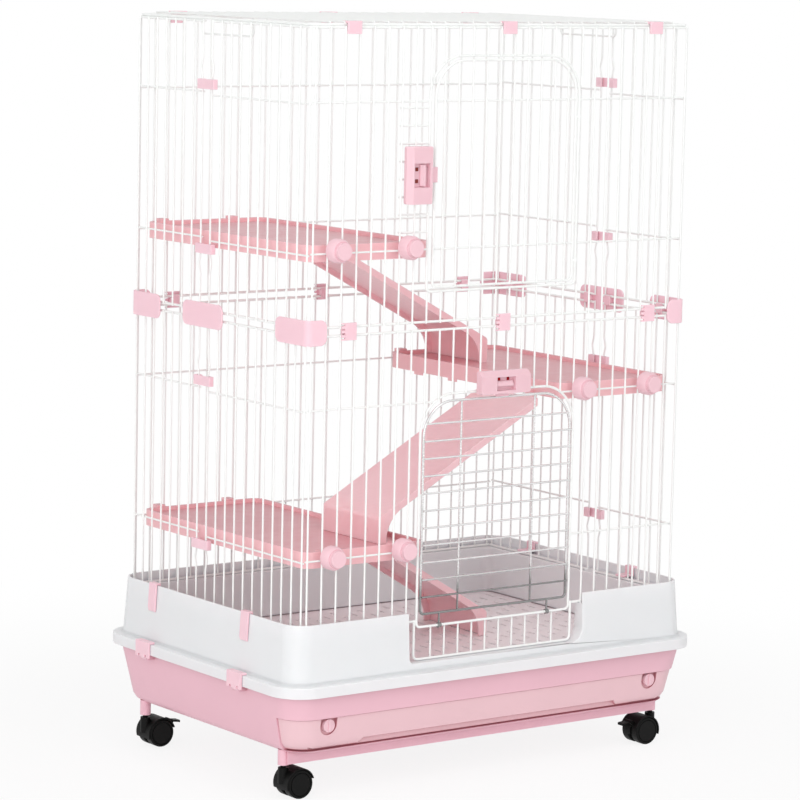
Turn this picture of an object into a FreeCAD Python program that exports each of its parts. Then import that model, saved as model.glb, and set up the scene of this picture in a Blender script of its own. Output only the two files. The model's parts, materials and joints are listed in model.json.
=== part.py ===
import FreeCAD, Part
import math
import os
from FreeCAD import Matrix, Placement, Vector

# Frame: millimetres, X across the front, Y to the back, Z up from the floor, X = Y = 0 at the base's centre.

# Clearances
FIT = 0.3
BORE_FIT = 0.1

# Wire cage
WIRE = 3.0
FRAME_WIRE = 4.0
CAGE_WIDTH = 720.0
CAGE_DEPTH = 480.0
CORNER_STEP = 6.0
WIRE_SPACING = 26.0
FOLD_FROM_FRONT = 270.0
LOWER_STOREY = 444.5
UPPER_STOREY = 440.5
STOREY_SEAM = 13.0
RAIL_IN = 109.5
LEAF_STEP = 2.5
BULGE = 4.0
BULGE_LENGTH = 32.0
BULGE_BEND = 10.0
BUTT_GAP = 0.2

# Doors
UPPER_DOOR_HALF = 143.0
UPPER_DOOR_SILL = 45.5
UPPER_DOOR_HEAD = 42.0
LOWER_DOOR_HALF = 148.0
LOWER_DOOR_DROP = 10.0
LOWER_DOOR_HEAD = 98.5
ARCH_RADIUS = 61.0
FOOT_BEND = 7.0
DOOR_HINGE_GAP = 6.5
LOWER_DOOR_RISE = 19.5
DOOR_LATCH_GAP = 11.0
DOOR_SWING_ROOM = 14.0
HINGE_WALL = 1.7
HINGE_LENGTH = 6.0
HINGE_FROM_SIDE = 43.0
DOOR_ROW = 26.6
LADDER_ROW = 26.5
LADDER_WIDE = 40.0

# Door latches
LATCH_DEEP = 14.0
LATCH_LONG_UPPER = 43.0
LATCH_WIDE_UPPER = 86.0
LATCH_LONG_LOWER = 35.0
LATCH_WIDE_LOWER = 94.0
LATCH_BEVEL = 8.0
LATCH_CORNER = 3.0
LATCH_BACK = 0.8
LATCH_END = 9.0
WINDOW_HALF = 18.0
BOLT_HALF = 11.5
BOLT_THICK = 4.5
BOLT_OUT_UPPER = 15.2
BOLT_OUT_LOWER = 5.0
BOLT_TRAVEL = 6.5
GRIP_LONG = 8.0
GRIP_HIGH = 6.0
GRIP_EDGE = 3.0
GRIP_SIDE_GAP = 2.0

# Roof
ROOF_BAIL_HALF = 71.0
ROOF_BAIL_DROP = 24.0
ROOF_BAIL_IN = 10.0
ROOF_CROSS = 120.0

# Collar and grate
COLLAR_TOP = 272.0
COLLAR_DRAFT = 0.056
COLLAR_OUT_X = 24.0
COLLAR_OUT_Y = 12.0
COLLAR_RADIUS = 36.0
COLLAR_WALL = 3.0
LEDGE_TOP = 255.0
LEDGE_THICK = 2.5
SKIRT_IN = 10.0
SKIRT_RADIUS = 22.0
SKIRT_WALL = 2.5
SKIRT_GAP = 1.0
FLANGE_TOP = 182.0
FLANGE_OUT = 16.0
FLANGE_RADIUS = 52.0
FLANGE_LIP = 17.0
NOTCH_HALF = 169.0
NOTCH_BOTTOM = 195.0
NOTCH_TIGHT = 8.0
NOTCH_ROUND = 24.0
GRATE_THICK = 6.0
SLIT_LONG = 21.5
SLIT_WIDE = 4.0
SLIT_PITCH_X = 27.0
SLIT_PITCH_Y = 38.0
GRATE_MARGIN = 22.0

# Base tub and drawer
TUB_BOTTOM = 74.0
TUB_OUT = 6.0
TUB_RADIUS = 44.0
TUB_DRAFT = 0.173
TUB_WALL = 4.0
TUB_FLOOR = 3.0
EASE_STEPS = ((0.0, 9.0), (4.0, 3.5), (12.0, 0.0))
BAND_BOTTOM = 128.0
GRATE_SEAT = 20.0
DRAWER_INSET = 2.5
DRAWER_FRONT = 10.0
DRAWER_HEADROOM = 1.0
DRAWER_WRAP = 44.0
TRAY_SIDE_IN = 45.0
TRAY_BACK_IN = 36.0
TRAY_GAP = 2.0
DRAWER_WALL = 3.0
DRAWER_TRAY_TOP = 118.0
HAND_SIDE_IN = 145.0
HAND_HIGH = 12.0
HAND_DEEP = 8.0
CATCH_SIDE_IN = 77.0
CATCH_Z = 116.0
CATCH_KNOB = 20.0
CATCH_PROUD = 2.3
CATCH_RIDGE = 4.0
CATCH_RIDGE_HIGH = 2.2
CATCH_RECESS = 30.0
CATCH_RECESS_DEEP = 5.0
CATCH_SHAFT = 6.0
CAM_LONG = 18.0
CAM_WIDE = 10.0
CAM_THICK = 3.0
RAIL_BOTTOM = 54.0
RAIL_AHEAD = 12.0

# Casters
CASTER_IN_X = 30.0
CASTER_IN_Y = 63.0
SOCKET = 17.0
SOCKET_BOTTOM = 52.0
STEM = 8.0
STEM_TOP = 70.0
WHEEL = 44.0
WHEEL_WIDE = 15.0
TREAD_ROUND = 1.9
DISH = 36.0
DISH_DEEP = 2.6
CASTER_TRAIL = 20.0
HOOD_WALL = 2.2
HOOD_LOW = 14.0
HOOD_HIGH = 30.0
WHEEL_ROOM = 0.8
FIN = 7.0
AXLE = 6.0
AXLE_HEAD = 34.0
LEVER_LONG = 17.0
LEVER_WIDE = 14.0
LEVER_THICK = 3.0
LEVER_FALL = 2.0
LEVER_LIP = 3.0
LEVER_PIN = 3.0
LEVER_ANGLE = 32.0

# Clips and clamps
CLIP_Y = 130.0
CLIP_WIDE = 20.0
CLIP_DROP = 42.0
CLIP_WALL = 3.0
CLIP_TOE = 6.0
CLAMP_PLACES = {-1: -122.0, 1: 138.0}
CLAMP_WIDE = 38.0
CLAMP_WALL = 3.5
CLAMP_HOOK = 8.0
CLAMP_PIN = 4.0
CLAMP_PIN_DROP = 4.5
SECTION_CLIP_HIGH = 38.0
CORNER_CLIP_SIDE = 84.0
CORNER_CLIP_FRONT = 36.0
SIDE_CLIP_LONG = 110.0
CORNER_CLIP_BEND = 8.0
CLIP_ROUND = 11.0
SMALL_CLIP = 26.0
COMB_CUTS = 4
COMB_CUT = 2.4
COMB_DEEP = 5.0
TONGUE_WIDE = 14.0
TONGUE_DEEP = 2.2
ROOF_CLIP_WIDE = 25.0
ROOF_CLIP_DROP = 16.0
ROOF_CLIP_IN = 13.0
CLIP_FROM_CORNER = 72.0
SLEEVE_LONG = 45.0
SLEEVE_HIGH = 15.0
SLEEVE_WALL = 2.2
SLEEVE_LIP = 6.0
SLEEVE_RISE = 14.5

# Platforms, knobs and ramps
PLATFORM_WIDE = 222.0
PLATFORM_SIDE_GAP = 10.0
PLATFORM_END_GAP = 12.0
PLATFORM_RADIUS = 18.0
PLATFORM_HIGH = 25.0
PLATFORM_ABOVE_RAIL = 12.0
PLATFORM_RIM = 5.0
PLATFORM_RECESS = 6.0
PLATFORM_SKIN = 2.5
KNOB = 36.0
KNOB_CAP = 26.0
KNOB_LONG = 25.0
KNOB_BASE = 13.75
KNOB_TAPER = 5.0
KNOB_SHAFT = 6.0
KNOB_GRIP = 16.0
KNOB_SHAFT_SHORT = 2.0
KNOBS_FROM_LEFT = (35.0, 166.0)
KNOBS_FROM_RIGHT = (193.0, 62.0)
HOOK_WIDE = 14.0
HOOK_LIP = 3.0
TAB_PLACES = (52.0, 144.0)
TAB_WIDE = 22.0
TAB_DROP = 4.5
RAMP_WIDE = 150.0
RAMP_SKIN = 3.0
RAMP_SIDE = 12.0
RAMP_FOOT = 40.0
RAMP_FOOT_LONG = 15.0
RAMP_COVE = 55.0
RAMP_NOSE = 8.0
RAMP_TOE = 1.0
RAMP_PIN = 6.0
RAMP_PIN_OUT = 8.0
RAMP_PIN_DROP = 26.0
RAMP_LUG_SPREAD = 40.0
RAMP_LUG = 6.0
RAMP_BARREL = 11.0
RAMP_BARREL_LONG = 10.0
RAMP_ENDS = (214.0, -192.0, 113.0)
RAMP_CENTRES = (146.0, -120.0, 0.0)

# Levels and positions that follow from the sizes above
HALF_X = CAGE_WIDTH / 2
HALF_Y = CAGE_DEPTH / 2
COLLAR_HALF_X = HALF_X + COLLAR_OUT_X
COLLAR_HALF_Y = HALF_Y + COLLAR_OUT_Y
SKIRT_HALF_X = HALF_X - SKIRT_IN
SKIRT_HALF_Y = HALF_Y - SKIRT_IN
FLANGE_HALF_X = COLLAR_HALF_X + FLANGE_OUT
FLANGE_HALF_Y = COLLAR_HALF_Y + FLANGE_OUT
TUB_HALF_X = COLLAR_HALF_X + TUB_OUT
TUB_HALF_Y = COLLAR_HALF_Y + TUB_OUT
DRAWER_TRAY_HALF = TUB_HALF_X - TRAY_SIDE_IN
DRAWER_TRAY_BACK = TUB_HALF_Y - TRAY_BACK_IN
HAND_HALF = TUB_HALF_X - HAND_SIDE_IN
CATCH_X = TUB_HALF_X - CATCH_SIDE_IN
CASTER_X = TUB_HALF_X - CASTER_IN_X
CASTER_Y = TUB_HALF_Y - CASTER_IN_Y
RAIL_FRONT = CASTER_Y + RAIL_AHEAD
PLATFORM_OUTER = HALF_X - PLATFORM_SIDE_GAP
PLATFORM_HALF_Y = HALF_Y - PLATFORM_END_GAP
LOWER_BOTTOM = LEDGE_TOP + FRAME_WIRE / 2
LOWER_TOP = LOWER_BOTTOM + LOWER_STOREY
UPPER_BOTTOM = LOWER_TOP + STOREY_SEAM
UPPER_TOP = UPPER_BOTTOM + UPPER_STOREY
SEAM_MIDDLE = LOWER_TOP + STOREY_SEAM / 2
RAILS = {
    "lower": (LOWER_BOTTOM + RAIL_IN, LOWER_TOP - RAIL_IN),
    "upper": (UPPER_BOTTOM + RAIL_IN, UPPER_TOP - RAIL_IN),
}
STOREYS = {"lower": (LOWER_BOTTOM, LOWER_TOP), "upper": (UPPER_BOTTOM, UPPER_TOP)}
FRAME_DEPTH = (WIRE + FRAME_WIRE) / 2
RAIL_DEPTH = WIRE
FRONT_SPAN = CAGE_WIDTH - 2 * CORNER_STEP
SIDE_SPAN = CAGE_DEPTH - 2 * CORNER_STEP
FRONT_GAPS = 2 * int(FRONT_SPAN / WIRE_SPACING / 2) + 1
SIDE_GAPS = round(SIDE_SPAN / WIRE_SPACING)
PITCH = FRONT_SPAN / FRONT_GAPS
SIDE_PITCH = SIDE_SPAN / SIDE_GAPS
FOLD_GAP_LEFT = int((FOLD_FROM_FRONT - CORNER_STEP) / SIDE_PITCH)
FACE_FRONT = HALF_Y + WIRE / 2
FACE_SIDE = HALF_X + WIRE / 2
ROOF_FRAME = UPPER_TOP + FRAME_WIRE + FIT
PLATFORM_RAILS = (RAILS["upper"][0], RAILS["lower"][1], RAILS["lower"][0])
PLATFORM_TOPS = tuple(rail + PLATFORM_ABOVE_RAIL for rail in PLATFORM_RAILS)
PLATFORM_SIDES = (-1, 1, -1)
FLANGE_BOTTOM = FLANGE_TOP - COLLAR_WALL
GRATE_TOP = FLANGE_BOTTOM - FIT
GRATE_SEAT_TOP = GRATE_TOP - GRATE_THICK
FLOOR_TOP = TUB_BOTTOM + TUB_FLOOR
DRAWER_BOTTOM = FLOOR_TOP + FIT
DRAWER_TOP = BAND_BOTTOM - DRAWER_HEADROOM
WHEEL_RADIUS = WHEEL / 2
HOOD_INNER = WHEEL_RADIUS + WHEEL_ROOM
HOOD_OUTER = HOOD_INNER + HOOD_WALL
CASTER_SIDES = {"front_left": (-1, -1, 1), "front_right": (1, -1, -1),
                "back_left": (-1, 1, 1), "back_right": (1, 1, -1)}
BRAKED = ("front_right", "back_left")
FAR = 2000.0
OVERLAP = 1.0


def near_gap(along):
    """Middle of the gap between two upright wires that lies nearest to a place along the front."""
    return round(along / PITCH) * PITCH


def box(x0, x1, y0, y1, z0, z1):
    return Part.makeBox(x1 - x0, y1 - y0, z1 - z0, Vector(x0, y0, z0))


def rod(start, end, diameter):
    axis = end.sub(start)
    return Part.makeCylinder(diameter / 2, axis.Length, start, axis)


def pin(centre, axis, length, diameter):
    half = Vector(axis).multiply(length / 2)
    return rod(centre.sub(half), centre.add(half), diameter)


def prism(points, direction):
    """Flat outline of straight edges, pushed along a direction."""
    outline = Part.makePolygon(list(points) + [points[0]])
    return Part.Face(outline).extrude(direction)


def join(shapes):
    return shapes[0].fuse(shapes[1:]).removeSplitter()


def bent_path(points, bends):
    """Straight runs joined by tangent arcs, one bend radius for each inner point."""
    edges = []
    start = points[0]
    for corner, after, radius in zip(points[1:-1], points[2:], bends):
        into = start.sub(corner).normalize()
        out = Vector(after).sub(corner).normalize()
        half = into.getAngle(out) / 2
        setback = radius / math.tan(half)
        middle = into.add(out).normalize()
        first = corner.add(Vector(into).multiply(setback))
        last = corner.add(Vector(out).multiply(setback))
        top = corner.add(middle.multiply(radius / math.sin(half) - radius))
        edges.append(Part.LineSegment(start, first).toShape())
        edges.append(Part.Arc(first, top, last).toShape())
        start = last
    edges.append(Part.LineSegment(start, points[-1]).toShape())
    return Part.Wire(edges)


def closed_face(points, bends):
    """Flat face inside a bent path that one straight edge closes."""
    path = bent_path(points, bends)
    lid = Part.LineSegment(points[-1], points[0]).toShape()
    return Part.Face(Part.Wire(path.Edges + [lid]))


def bent_wire(points, bends, diameter):
    """One round wire swept along straight runs and tangent bends."""
    path = bent_path(points, bends)
    along = points[1].sub(points[0])
    section = Part.Wire([Part.Circle(points[0], along, diameter / 2).toShape()])
    return path.makePipeShell([section], True, False)


def rounded_outline(half_x, half_y, radius, z):
    corners = []
    for sx, sy, turn in ((1, 1, 0), (-1, 1, 90), (-1, -1, 180), (1, -1, 270)):
        centre = Vector(sx * (half_x - radius), sy * (half_y - radius), z)
        arc = Part.Circle(centre, Vector(0, 0, 1), radius)
        corners.append(arc.toShape(math.radians(turn), math.radians(turn + 90)))
    edges = []
    for arc, following in zip(corners, corners[1:] + corners[:1]):
        edges.append(arc)
        edges.append(Part.LineSegment(arc.lastVertex().Point, following.firstVertex().Point).toShape())
    return Part.Wire(edges)


def slab(half_x, half_y, radius, z0, z1):
    face = Part.Face(rounded_outline(half_x, half_y, radius, z0))
    return face.extrude(Vector(0, 0, z1 - z0))


def loft(low, high):
    """Drafted block between two rounded outlines, each (half_x, half_y, radius, z)."""
    return Part.makeLoft([rounded_outline(*low), rounded_outline(*high)], True, True)


def at_wall(wall, along, depth, z):
    """Point on a cage wall, depth counted inwards from the plane of its upright wires."""
    places = {
        "front": Vector(along, -HALF_Y + depth, z),
        "back": Vector(along, HALF_Y - depth, z),
        "left": Vector(-HALF_X + depth, along, z),
        "right": Vector(HALF_X - depth, along, z),
    }
    return places[wall]


def upright(wall, along, z0, z1, depth=0.0):
    return rod(at_wall(wall, along, depth, z0), at_wall(wall, along, depth, z1), WIRE)


def rail(wall, a0, a1, z, diameter):
    depth = (WIRE + diameter) / 2
    return rod(at_wall(wall, a0, depth, z), at_wall(wall, a1, depth, z), diameter)


def front_columns():
    reach = HALF_X - CORNER_STEP
    return [-reach + PITCH * i for i in range(FRONT_GAPS + 1)]


def side_columns():
    reach = HALF_Y - CORNER_STEP
    return [-reach + SIDE_PITCH * i for i in range(SIDE_GAPS + 1)]


def arch_height(along, half, head):
    """Height of a door arch over a column, or None beside the opening."""
    over = abs(along) - (half - ARCH_RADIUS)
    if over <= 0:
        return head
    if over >= ARCH_RADIUS:
        return None
    return head - ARCH_RADIUS + math.sqrt(ARCH_RADIUS ** 2 - over ** 2)


def arch_width(z, half, head):
    """Half width of a door arch at a height."""
    over = z - (head - ARCH_RADIUS)
    if over <= 0:
        return half
    return half - ARCH_RADIUS + math.sqrt(ARCH_RADIUS ** 2 - over ** 2)


def door_loop(left, right, sill, head, radius):
    """Arched frame of one wire in the plane of the front frames, its ends butted at the sill."""
    middle = (left + right) / 2
    corners = [(middle + BUTT_GAP / 2, sill), (right, sill), (right, head),
               (left, head), (left, sill), (middle - BUTT_GAP / 2, sill)]
    points = [at_wall("front", x, FRAME_DEPTH, z) for x, z in corners]
    return bent_wire(points, [FOOT_BEND, radius, radius, FOOT_BEND], FRAME_WIRE)


def plain_back(storey):
    low, high = STOREYS[storey]
    reach = HALF_X - CORNER_STEP + WIRE / 2
    wires = [upright("back", u, low - FRAME_WIRE / 2, high + FRAME_WIRE / 2) for u in front_columns()]
    wires += [rail("back", -reach, reach, z, FRAME_WIRE) for z in (low, high)]
    wires += [rail("back", -reach, reach, z, WIRE) for z in RAILS[storey]]
    return wires


def fold_columns(wall):
    """The two uprights beside the fold line, in from the front of the left wall or the back of the right."""
    first = FOLD_GAP_LEFT if wall == "left" else SIDE_GAPS - FOLD_GAP_LEFT - 1
    return first, first + 1


def fold_wire(wall, along, outward, low, high, bulges):
    half = BULGE_LENGTH / 2
    heights = [(low, 0.0)]
    for middle in bulges:
        heights += [(middle - half, 0.0), (middle, BULGE * outward), (middle + half, 0.0)]
    heights.append((high, 0.0))
    points = [at_wall(wall, along + shift, 0.0, z) for z, shift in heights]
    return bent_wire(points, [BULGE_BEND] * (len(points) - 2), WIRE)


def sleeve_levels(storey):
    """Rest heights of the two sleeves of a storey, each with the way to its bulge."""
    low_rail, high_rail = RAILS[storey]
    return (low_rail - SLEEVE_RISE, -1), (high_rail + SLEEVE_RISE, 1)


def bulge_levels(storey):
    reach = SLEEVE_HIGH / 2 + BULGE_LENGTH / 2
    return [z + way * reach for z, way in sleeve_levels(storey)]


def folding_side(wall, storey):
    low, high = STOREYS[storey]
    columns = side_columns()
    first, second = fold_columns(wall)
    bottom = low - FRAME_WIRE / 2
    top = high + FRAME_WIRE / 2
    wires = []
    for i, along in enumerate(columns):
        if i in (first, second):
            outward = -1 if i == first else 1
            wires.append(fold_wire(wall, along, outward, bottom, top, bulge_levels(storey)))
        else:
            wires.append(upright(wall, along, bottom, top))
    leaves = ((columns[0], columns[first], -LEAF_STEP), (columns[second], columns[-1], LEAF_STEP))
    for start, end, step in leaves:
        wires += [rail(wall, start, end, z, FRAME_WIRE) for z in (low, high)]
        wires += [rail(wall, start, end, z + step, WIRE) for z in RAILS[storey]]
    return wires


def around_door(storey, half, sill, head):
    """Uprights and rails of a front panel, stopped at the wire loop of its door opening."""
    low, high = STOREYS[storey]
    reach = HALF_X - CORNER_STEP + WIRE / 2
    beside = half + FRAME_WIRE
    wires = []
    for along in front_columns():
        if abs(along) > beside:
            wires.append(upright("front", along, low - FRAME_WIRE / 2, high + FRAME_WIRE / 2))
            continue
        over = arch_height(along, half, head)
        start = head - ARCH_RADIUS + DOOR_SWING_ROOM if over is None else over
        wires.append(upright("front", along, start, high + FRAME_WIRE / 2))
        if sill > low:
            wires.append(upright("front", along, low - FRAME_WIRE / 2, sill))
    for z in RAILS[storey]:
        stop = arch_width(z, half, head) + FRAME_WIRE / 2 + BORE_FIT
        wires.append(rail("front", -reach, -stop, z, WIRE))
        wires.append(rail("front", stop, reach, z, WIRE))
    wires.append(rail("front", -reach, reach, high, FRAME_WIRE))
    return wires


def upper_door_levels():
    return UPPER_BOTTOM + UPPER_DOOR_SILL, UPPER_TOP - UPPER_DOOR_HEAD


def lower_door_levels():
    return LOWER_BOTTOM - LOWER_DOOR_DROP, LOWER_TOP - LOWER_DOOR_HEAD


def upper_front():
    sill, head = upper_door_levels()
    reach = HALF_X - CORNER_STEP + WIRE / 2
    wires = around_door("upper", UPPER_DOOR_HALF, sill, head)
    wires.append(rail("front", -reach, reach, UPPER_BOTTOM, FRAME_WIRE))
    wires.append(door_loop(-UPPER_DOOR_HALF, UPPER_DOOR_HALF, sill, head, ARCH_RADIUS))
    start = max(u for u in front_columns() if u < -UPPER_DOOR_HALF - LADDER_WIDE) - WIRE / 2
    stop = -UPPER_DOOR_HALF - FRAME_WIRE / 2 - BORE_FIT
    low_rail, high_rail = RAILS["upper"]
    for row in range(1, int((high_rail - low_rail - WIRE) / LADDER_ROW) + 1):
        wires.append(rail("front", start, stop, low_rail + row * LADDER_ROW, WIRE))
    return wires


def lower_front():
    sill, head = lower_door_levels()
    reach = HALF_X - CORNER_STEP + WIRE / 2
    wires = around_door("lower", LOWER_DOOR_HALF, sill, head)
    wires.append(door_loop(-LOWER_DOOR_HALF, LOWER_DOOR_HALF, sill, head, ARCH_RADIUS))
    apron = LOWER_DOOR_HALF + FRAME_WIRE + FIT
    bottom = NOTCH_BOTTOM + FRAME_WIRE / 2 + FIT
    corners = [(-apron, LOWER_BOTTOM + FRAME_WIRE / 2), (-apron, bottom), (apron, bottom),
               (apron, LOWER_BOTTOM + FRAME_WIRE / 2)]
    points = [at_wall("front", x, FRAME_DEPTH, z) for x, z in corners]
    wires.append(bent_wire(points, [NOTCH_TIGHT, NOTCH_TIGHT], FRAME_WIRE))
    stop = apron + FRAME_WIRE / 2 + BORE_FIT
    wires.append(rail("front", -reach, -stop, LOWER_BOTTOM, FRAME_WIRE))
    wires.append(rail("front", stop, reach, LOWER_BOTTOM, FRAME_WIRE))
    behind = FRAME_DEPTH + (FRAME_WIRE + WIRE) / 2
    for along in front_columns():
        if abs(along) < LOWER_DOOR_HALF - FOOT_BEND:
            wires.append(upright("front", along, bottom, sill, behind))
    return wires


def hinge_knuckle(pivot, axis, towards, gap):
    """Wire eye around a frame wire, with a neck over the gap to the door's own frame wire."""
    eye = FRAME_WIRE + 2 * BORE_FIT
    neck = pin(pivot.add(Vector(towards).multiply(gap / 2)), towards, gap, WIRE)
    knuckle = pin(pivot, axis, HINGE_LENGTH, eye + 2 * HINGE_WALL).fuse(neck)
    knuckle = knuckle.cut(pin(pivot, axis, 2 * HINGE_LENGTH, eye))
    own_wire = pivot.add(Vector(towards).multiply(gap))
    return knuckle.cut(pin(own_wire, axis, 2 * HINGE_LENGTH, FRAME_WIRE)).Solids


def upper_door():
    sill, head = upper_door_levels()
    low = sill + DOOR_HINGE_GAP
    top = head - DOOR_HINGE_GAP
    left = -UPPER_DOOR_HALF + DOOR_LATCH_GAP
    right = UPPER_DOOR_HALF - DOOR_HINGE_GAP
    radius = ARCH_RADIUS - DOOR_HINGE_GAP
    wires = [door_loop(left, right, low, top, radius)]
    for along in front_columns():
        if left + WIRE < along < right - WIRE:
            over = max(left + radius - along, along - right + radius, 0.0)
            reach = top - radius + math.sqrt(radius ** 2 - over ** 2)
            wires.append(upright("front", along, low, reach))
    for z in RAILS["upper"]:
        wires.append(rail("front", left + FRAME_WIRE / 2, right - FRAME_WIRE / 2, z, WIRE))
    for z in RAILS["upper"]:
        pivot = at_wall("front", UPPER_DOOR_HALF, FRAME_DEPTH, z - DOOR_ROW)
        wires += hinge_knuckle(pivot, Vector(0, 0, 1), Vector(-1, 0, 0), DOOR_HINGE_GAP)
    return wires


def lower_door():
    sill, head = lower_door_levels()
    low = sill + LOWER_DOOR_RISE
    top = head - DOOR_LATCH_GAP
    half = LOWER_DOOR_HALF - DOOR_HINGE_GAP
    radius = ARCH_RADIUS - DOOR_HINGE_GAP
    wires = [door_loop(-half, half, low, top, radius)]
    z = low + DOOR_ROW
    while z < top - DOOR_ROW / 2:
        over = max(z - (top - radius), 0.0)
        reach = half - radius + math.sqrt(radius ** 2 - over ** 2)
        wires.append(rod(at_wall("front", -reach, 0, z), at_wall("front", reach, 0, z), WIRE))
        z += DOOR_ROW
    stay = half / 2
    for along in (-stay, stay):
        wires.append(upright("front", along, low + FRAME_WIRE / 2, top - FRAME_WIRE / 2, RAIL_DEPTH))
    for side in (-1, 1):
        along = near_gap(side * (LOWER_DOOR_HALF - HINGE_FROM_SIDE))
        pivot = at_wall("front", along, FRAME_DEPTH, sill)
        wires += hinge_knuckle(pivot, Vector(1, 0, 0), Vector(0, 0, 1), LOWER_DOOR_RISE)
    return wires


def roof_panel():
    """Flat grid on a bent frame that lies on the four walls, with a hanging bail at each side."""
    x = HALF_X - FRAME_DEPTH
    y = HALF_Y - FRAME_DEPTH
    z = ROOF_FRAME
    corners = [(BUTT_GAP / 2, -y), (x, -y), (x, y), (-x, y), (-x, -y), (-BUTT_GAP / 2, -y)]
    frame = bent_wire([Vector(u, v, z) for u, v in corners], [FOOT_BEND] * 4, FRAME_WIRE)
    wires = [frame]
    above = z + (FRAME_WIRE + WIRE) / 2
    for along in front_columns()[1:-1]:
        wires.append(rod(Vector(along, -y, above), Vector(along, y, above), WIRE))
    end = x - FRAME_WIRE / 2 - BORE_FIT
    for across in (-ROOF_CROSS, ROOF_CROSS):
        wires.append(rod(Vector(-end, across, above - WIRE), Vector(end, across, above - WIRE), WIRE))
    for side in (-1, 1):
        inner = side * (HALF_X - ROOF_BAIL_IN)
        low = z - ROOF_BAIL_DROP
        hook = above - WIRE
        points = [Vector(inner, -ROOF_CROSS + WIRE / 2, hook), Vector(inner, -ROOF_BAIL_HALF, hook),
                  Vector(inner, -ROOF_BAIL_HALF, low), Vector(inner, ROOF_BAIL_HALF, low),
                  Vector(inner, ROOF_BAIL_HALF, hook), Vector(inner, ROOF_CROSS - WIRE / 2, hook)]
        wires.append(bent_wire(points, [FOOT_BEND] * 4, WIRE))
    return wires


def latch_case(long, wide):
    """Bevelled case with a channel for the bolt; local x is the way out, z away from the cage wall."""
    profile = [Vector(-long, -wide / 2, 0), Vector(-long, -wide / 2, LATCH_DEEP - LATCH_BEVEL),
               Vector(-long + LATCH_BEVEL, -wide / 2, LATCH_DEEP), Vector(0, -wide / 2, LATCH_DEEP),
               Vector(0, -wide / 2, 0)]
    case = prism(profile, Vector(0, wide, 0))
    rounded = slab(long / 2, wide / 2, LATCH_CORNER, 0, LATCH_DEEP)
    rounded.translate(Vector(-long / 2, 0, 0))
    case = case.common(rounded)
    half = BOLT_HALF + FIT
    channel_top = LATCH_BACK + BOLT_THICK + 2 * FIT
    channel = box(-long + LATCH_END - FIT, OVERLAP, -half, half, LATCH_BACK, channel_top)
    window = box(-long + LATCH_END + FIT, -LATCH_END / 2, -WINDOW_HALF, WINDOW_HALF,
                 LATCH_BACK + BOLT_THICK + FIT, LATCH_DEEP + OVERLAP)
    return case.cut(channel).cut(window)


def latch_bolt(long, out):
    """Flat bolt with a raised thumb grip that shows in the case's window."""
    back = LATCH_BACK + FIT
    front = back + BOLT_THICK
    plate = box(-long + LATCH_END, out, -BOLT_HALF, BOLT_HALF, back, front)
    end = -LATCH_END / 2 - FIT - BOLT_TRAVEL
    start = end - GRIP_LONG
    side = WINDOW_HALF - GRIP_SIDE_GAP
    low = front + FIT
    high = front + GRIP_HIGH
    outline = [(start, low), (start, front + GRIP_HIGH / 2), (end - GRIP_EDGE, high), (end, high), (end, low)]
    grip = prism([Vector(x, -side, z) for x, z in outline], Vector(0, 2 * side, 0))
    stalk = box(start, end, -BOLT_HALF, BOLT_HALF, front - OVERLAP, front + OVERLAP)
    return join([plate, grip, stalk])


def set_latch(shape, which):
    """Places a latch piece: the upper one slides along +X, the lower one along -Z."""
    y = -FACE_FRONT - FIT
    if which == "upper":
        sill, head = upper_door_levels()
        mouth = -UPPER_DOOR_HALF + DOOR_LATCH_GAP - FRAME_WIRE / 2 - BOLT_OUT_UPPER - FIT
        place = Matrix(1, 0, 0, mouth, 0, 0, -1, y, 0, 1, 0, (sill + head) / 2)
    else:
        sill, head = lower_door_levels()
        mouth = head - DOOR_LATCH_GAP + FRAME_WIRE / 2 + BOLT_OUT_LOWER + FIT
        place = Matrix(0, 1, 0, 0, 0, 0, -1, y, -1, 0, 0, mouth)
    moved = shape.copy()
    moved.Placement = Placement(place)
    return moved


def tub_outline(inset, z):
    lean = TUB_DRAFT * (FLANGE_BOTTOM - z) + inset
    return TUB_HALF_X - lean, TUB_HALF_Y - lean, TUB_RADIUS - inset, z


def tub_block(inset, z0, z1):
    return loft(tub_outline(inset, z0), tub_outline(inset, z1))


def eased_block(inset, z0, z1):
    """Drafted block of the tub's outline with its bottom edge rounded in steps."""
    outlines = [tub_outline(inset + ease, z0 + rise) for rise, ease in EASE_STEPS]
    outlines.append(tub_outline(inset, z1))
    return join([loft(low, high) for low, high in zip(outlines, outlines[1:])])


def drawer_front_y(z):
    """Outer face of the drawer front at a height."""
    return -tub_outline(DRAWER_INSET, z)[1]


def catch_keeper(side):
    """Block behind the band that the turned catch draws up against."""
    x = side * CATCH_X
    back = drawer_front_y(CATCH_Z) + DRAWER_FRONT
    front = tub_outline(TUB_WALL / 2, BAND_BOTTOM)[1]
    return box(x - CAM_WIDE, x + CAM_WIDE, -front, back, BAND_BOTTOM, BAND_BOTTOM + CAM_WIDE)


def clamp_axis(side_x, side_y):
    x = side_x * (FLANGE_HALF_X - CLAMP_PIN / 2)
    return Vector(x, CLAMP_PLACES[side_y], FLANGE_TOP - FLANGE_LIP - CLAMP_PIN_DROP)


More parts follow.
